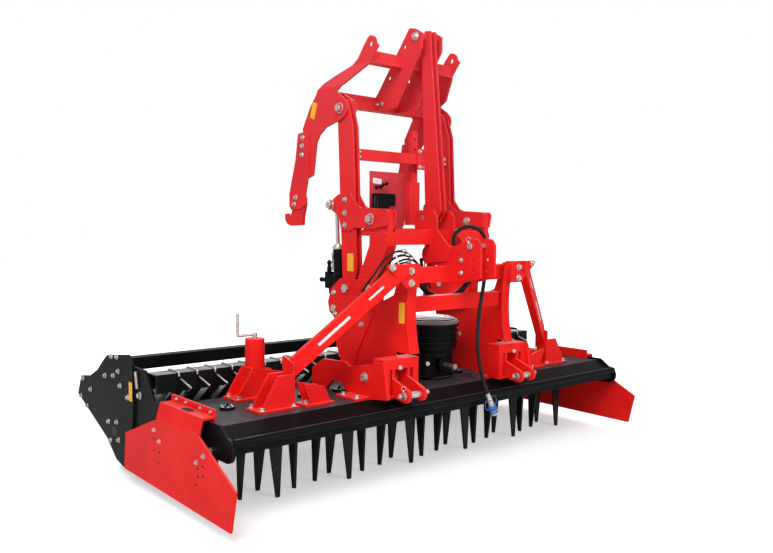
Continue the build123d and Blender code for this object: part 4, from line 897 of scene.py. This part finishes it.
# %% Blue dust cap on the coupler
cap_steps = [(0.0260, 0.030), (0.0215, 0.006), (0.0260, 0.012), (0.0200, 0.004)]
dust_cap = turned("dust_cap", cap_steps, 36)
smooth_rims(dust_cap, 0.0018)
cap_place = hose_end + last_run * 0.044
lay_out(dust_cap, [(cap_place, last_run)], "blue_dust_cap", "blue_cap", "machine", spin=False)
bpy.data.objects.remove(dust_cap)
loop_side = last_run.cross(Vector((0, -1, 0))).normalized()
for number, side in enumerate((-1, 1), start=1):
    start = cap_place + loop_side * side * 0.020
    strap = line(f"cap_strap_{number}", [
        start - last_run * 0.050,
        start - last_run * 0.055 + loop_side * side * 0.022,
        start - last_run * 0.020 + loop_side * side * 0.036,
        start + last_run * 0.012 + loop_side * side * 0.020,
        start + last_run * 0.010,
    ], 0.0024)
    dress(strap, "blue_cap", "machine")
print("coupler dressed")

# %% [markdown]
# ## Blank labels and strips
#
# The machine wears small stickers at the places where hands could be hurt, and long strips on
# its braces. Here they are plain plates of film with rounded corners and nothing on them.

# %% Blank labels
film, film_gap = 0.0006, 0.0002


def label(name, middle, way, up, width, height, finish_name, body, corner=0.006):
    """A thin film with rounded corners that lies on a face."""
    bpy.ops.object.select_all(action="DESELECT")
    bpy.ops.mesh.primitive_plane_add(size=1)
    made = bpy.context.object
    made.name = name
    bpy.ops.object.mode_set(mode="EDIT")
    bpy.ops.mesh.select_all(action="SELECT")
    bpy.ops.transform.resize(value=(width, height, 1))
    bpy.ops.mesh.bevel(offset=corner, segments=4, affect="VERTICES")
    bpy.ops.mesh.select_all(action="SELECT")
    bpy.ops.mesh.extrude_region_move(TRANSFORM_OT_translate={"value": (0, 0, film)})
    bpy.ops.mesh.select_all(action="SELECT")
    bpy.ops.mesh.normals_make_consistent(inside=False)
    bpy.ops.object.mode_set(mode="OBJECT")
    out = Vector(way).normalized()
    rise = (Vector(up) - out * Vector(up).dot(out)).normalized()
    across = rise.cross(out)
    basis = Matrix((across, rise, out)).transposed().to_4x4()
    made.data.transform(Matrix.Translation(middle + out * film_gap) @ basis)
    dress(made, finish_name, body)


# %% Labels and strips on their faces
# each row: share of the way up the brace, length, height
brace_stripes = [(0.40, 0.230, 0.016), (0.76, 0.110, 0.012)]
for side_name, sign in sides.items():
    out = (sign, 0, 0)
    label(f"arm_label_{side_name}", at(sign * arm_face, 0.505, 2.245), out, (0, -0.35, 1),
          0.052, 0.105, "label_yellow", "arms")
    label(f"column_label_{side_name}", at(sign * 0.440, 0.134, 1.275), out, up_way, 0.062, 0.110,
          "label_yellow", "lift")
    label(f"leg_label_{side_name}", at(sign * 0.445, -0.352, 1.000), out, up_way, 0.050, 0.120,
          "label_yellow", "machine")
    label(f"frame_label_{side_name}", at(sign * frame_face, 0.676, 0.530), out, up_way,
          0.048, 0.112, "label_yellow", "machine")
    brace_low = at(sign * 1.105, -0.155, 0.700)
    brace_high = at(sign * 0.520, -0.440, 1.262)
    along = (brace_high - brace_low).normalized()
    outward = Vector((-along.y, along.x, 0)).normalized()
    if outward.y > 0:
        outward = -outward
    rise = along.cross(outward)
    for part, (share, length, height) in enumerate(brace_stripes, start=1):
        middle = brace_low.lerp(brace_high, share) + outward * 0.025
        label(f"brace_stripe_{side_name}_{part}", middle, outward, rise, length, height,
              "label_white", "machine", 0.003)
# The slot in each roller flange is a black film on its top: painted shade for the dark seen through
# the slot.
for side_name, sign in sides.items():
    label(f"flange_slot_{side_name}", at(sign * 1.604, -0.005, 0.545), up_way, (0, 1, 0),
          0.040, 0.105, "frame_black", "machine", 0.019)
label("panel_label", at(-0.310, 0.036, 1.778), (0, -1, 0), (0.1, 0, 1), 0.072, 0.034,
      "label_white", "machine")
print("labels laid")

# %% [markdown]
# ## Scraper clamps
#
# Each scraper is held on its beam by a U-bolt: a bright rod lies over the tube, and its legs
# down the front are given a black finish as painted shade for the front of the clamp. Another
# bright rod slants down to the front. It is the repeat that gives the rear of the machine its
# rhythm. Each rod is a line through a few places, made a mesh once and then copied along the beam.

# %% Scraper clamps
beam_front, beam_rear, beam_top, beam_bottom = 0.380, 0.500, 0.665, 0.560
rod = 0.0055
scraper_pitch, scraper_count = 0.113, 27
scraper_places = [(i - (scraper_count - 1) / 2) * scraper_pitch for i in range(scraper_count)]


def rod_model(name, points, radius):
    """A round rod through the points as a mesh, ready to be copied."""
    drawn = line(name, [at(*place) for place in points], radius)
    made = bpy.data.objects.new(name, bpy.data.meshes.new_from_object(drawn))
    bpy.data.objects.remove(drawn)
    for face in made.data.polygons:
        face.use_smooth = True
    return made


def along_beam(model, name, slot_name):
    """Copies a model, as it stands, to each scraper's place along the beam."""
    bpy.ops.object.select_all(action="DESELECT")
    for x in scraper_places:
        copy = model.copy()
        copy.data = model.data.copy()
        bpy.context.scene.collection.objects.link(copy)
        copy.data.transform(Matrix.Translation((x, 0, 0)))
        copy.select_set(True)
        bpy.context.view_layer.objects.active = copy
    bpy.ops.object.join()
    made = bpy.context.object
    made.name = name
    dress(made, slot_name, "machine")
    bpy.data.objects.remove(model)
    print(name, len(scraper_places), "copies")


# %% Scraper rods laid along the beam
rod_front, rod_rear, rod_top = beam_front - rod, beam_rear + rod, beam_top + rod
over = rod_model("hoop_over", [
    (0, rod_front, beam_top - 0.020), (0, rod_front, rod_top), (0, beam_front + 0.010, rod_top),
    (0, beam_rear - 0.010, rod_top), (0, rod_rear, rod_top), (0, rod_rear, beam_top - 0.020),
], rod)
along_beam(over, "scraper_hoops", "zinc")
# Painted shade: the legs down the front of each U-bolt get the black frame finish, while the rod
# over the top stays bright zinc.
shaded_legs = rod_model("hoop_shaded_leg", [
    (0, rod_front, beam_top - 0.019), (0, rod_front, beam_top - 0.070),
    (0, rod_front, beam_bottom - 0.020),
], rod)
along_beam(shaded_legs, "scraper_hoop_shaded_legs", "frame_black")
bar = rod_model("scraper_bar_model", [
    (0.012, beam_front - 0.002, 0.630), (0.021, 0.335, 0.610), (0.030, 0.285, 0.588),
], rod)
along_beam(bar, "scraper_bars", "zinc")
spindle_x = 1.621
for side_name, sign in sides.items():
    spindle = line(f"frame_spindle_{side_name}", [
        at(sign * spindle_x, 0.612, 0.655), at(sign * spindle_x, 0.604, 0.620),
        at(sign * spindle_x, 0.590, 0.560),
    ], 0.009)
    dress(spindle, "zinc", "machine")

# %% [markdown]
# ## Weld beads
#
# The beams, lugs and brace plates are welded. A bead is a thin rope of overlapping ripples,
# laid into the corner between two plates and painted over with the rest.

# %% Weld beads
ripple, narrow = 0.006, 0.78


def bead(name, start, end, body="machine", slot_name="red_paint", thick=0.0042):
    """A rippled weld bead from one place to another."""
    length = (end - start).length
    steps = max(4, int(length / ripple))
    curve = bpy.data.curves.new(name, "CURVE")
    curve.dimensions = "3D"
    spline = curve.splines.new("POLY")
    spline.points.add(steps)
    for i, point in enumerate(spline.points):
        point.co = (*start.lerp(end, i / steps), 1)
        point.radius = 1.0 if i % 2 else narrow
    curve.bevel_depth = thick
    curve.bevel_resolution = 2
    curve.use_fill_caps = True
    made = bpy.data.objects.new(name, curve)
    bpy.context.scene.collection.objects.link(made)
    dress(made, slot_name, body)


# %% Beads laid into the corners
leg_inner = 0.433
beam_heights = [(1.000, 1.088), (1.168, 1.262)]
for tag, sign in sides.items():
    for row, (low, high) in enumerate(beam_heights, start=1):
        inner_x = sign * leg_inner
        bead(f"beam_bead_{tag}_{row}", at(inner_x, -0.374, low), at(inner_x, -0.374, high))
        bead(f"beam_top_bead_{tag}_{row}", at(inner_x, -0.371, high), at(inner_x, -0.296, high))
    bead(f"plate_bead_{tag}", at(sign * 0.068, -0.373, 1.172), at(sign * 0.068, -0.373, 1.258))
    bead(f"lug_bead_{tag}", at(sign * 0.080, -0.205, 1.392), at(sign * 0.080, -0.205, 1.476))
    bead(f"lug_top_bead_{tag}", at(sign * 0.080, -0.203, 1.480), at(sign * 0.080, -0.107, 1.480))
    bead(f"crossbar_bead_{tag}", at(sign * 0.392, 0.134, 1.916), at(sign * 0.392, 0.134, 1.978),
         "lift")
    bead(f"upper_bar_bead_{tag}", at(sign * 0.345, 0.052, 2.502), at(sign * 0.345, 0.052, 2.570),
         "arms")
    bead(f"bracket_bead_{tag}", at(sign * 0.090, 0.052, 2.502), at(sign * 0.090, 0.052, 2.570),
         "arms")
    bead(f"hitch_bead_{tag}", at(sign * 0.610, -0.400, 0.540), at(sign * 0.610, -0.400, 0.735))
print("beads laid")

# %% [markdown]
# ## Linch pins
#
# The two lower pins and the top pin are kept in by linch pins: a short peg with a sprung
# ring. The ring starts as a torus, and the peg is drawn into the same mesh below it.

# %% Linch pins
spring_radius, peg_radius, peg_length = 0.013, 0.0032, 0.036
bpy.ops.object.select_all(action="DESELECT")
bpy.ops.mesh.primitive_torus_add(
    major_radius=spring_radius, minor_radius=0.0016, major_segments=28, minor_segments=8
)
linch = bpy.context.object
linch.name = "linch_model"
bpy.ops.object.mode_set(mode="EDIT")
bpy.ops.mesh.select_all(action="SELECT")
bpy.ops.transform.rotate(value=math.pi / 2, orient_axis="X", center_override=(0, 0, 0))
bpy.ops.transform.translate(value=(0, 0, spring_radius))
bpy.ops.mesh.select_all(action="DESELECT")
bpy.ops.mesh.primitive_cylinder_add(
    vertices=16, radius=peg_radius, depth=peg_length, location=(0, 0, -0.016)
)
bpy.ops.object.mode_set(mode="OBJECT")
for face in linch.data.polygons:
    face.use_smooth = True
pin_end = hitch_x + 0.0475 + 0.020 + 0.010
linch_spots = [(at(sign * pin_end, -0.500, 0.588), (0.15 * sign, -0.25, 1))
               for sign in sides.values()]
linch_spots += [(at(-0.088, -0.532, 1.412), (-0.2, -0.2, 1))]
lay_out(linch, linch_spots, "linch_pins", "zinc", "machine", spin=False)
for model in (linch, bolt):
    bpy.data.objects.remove(model)
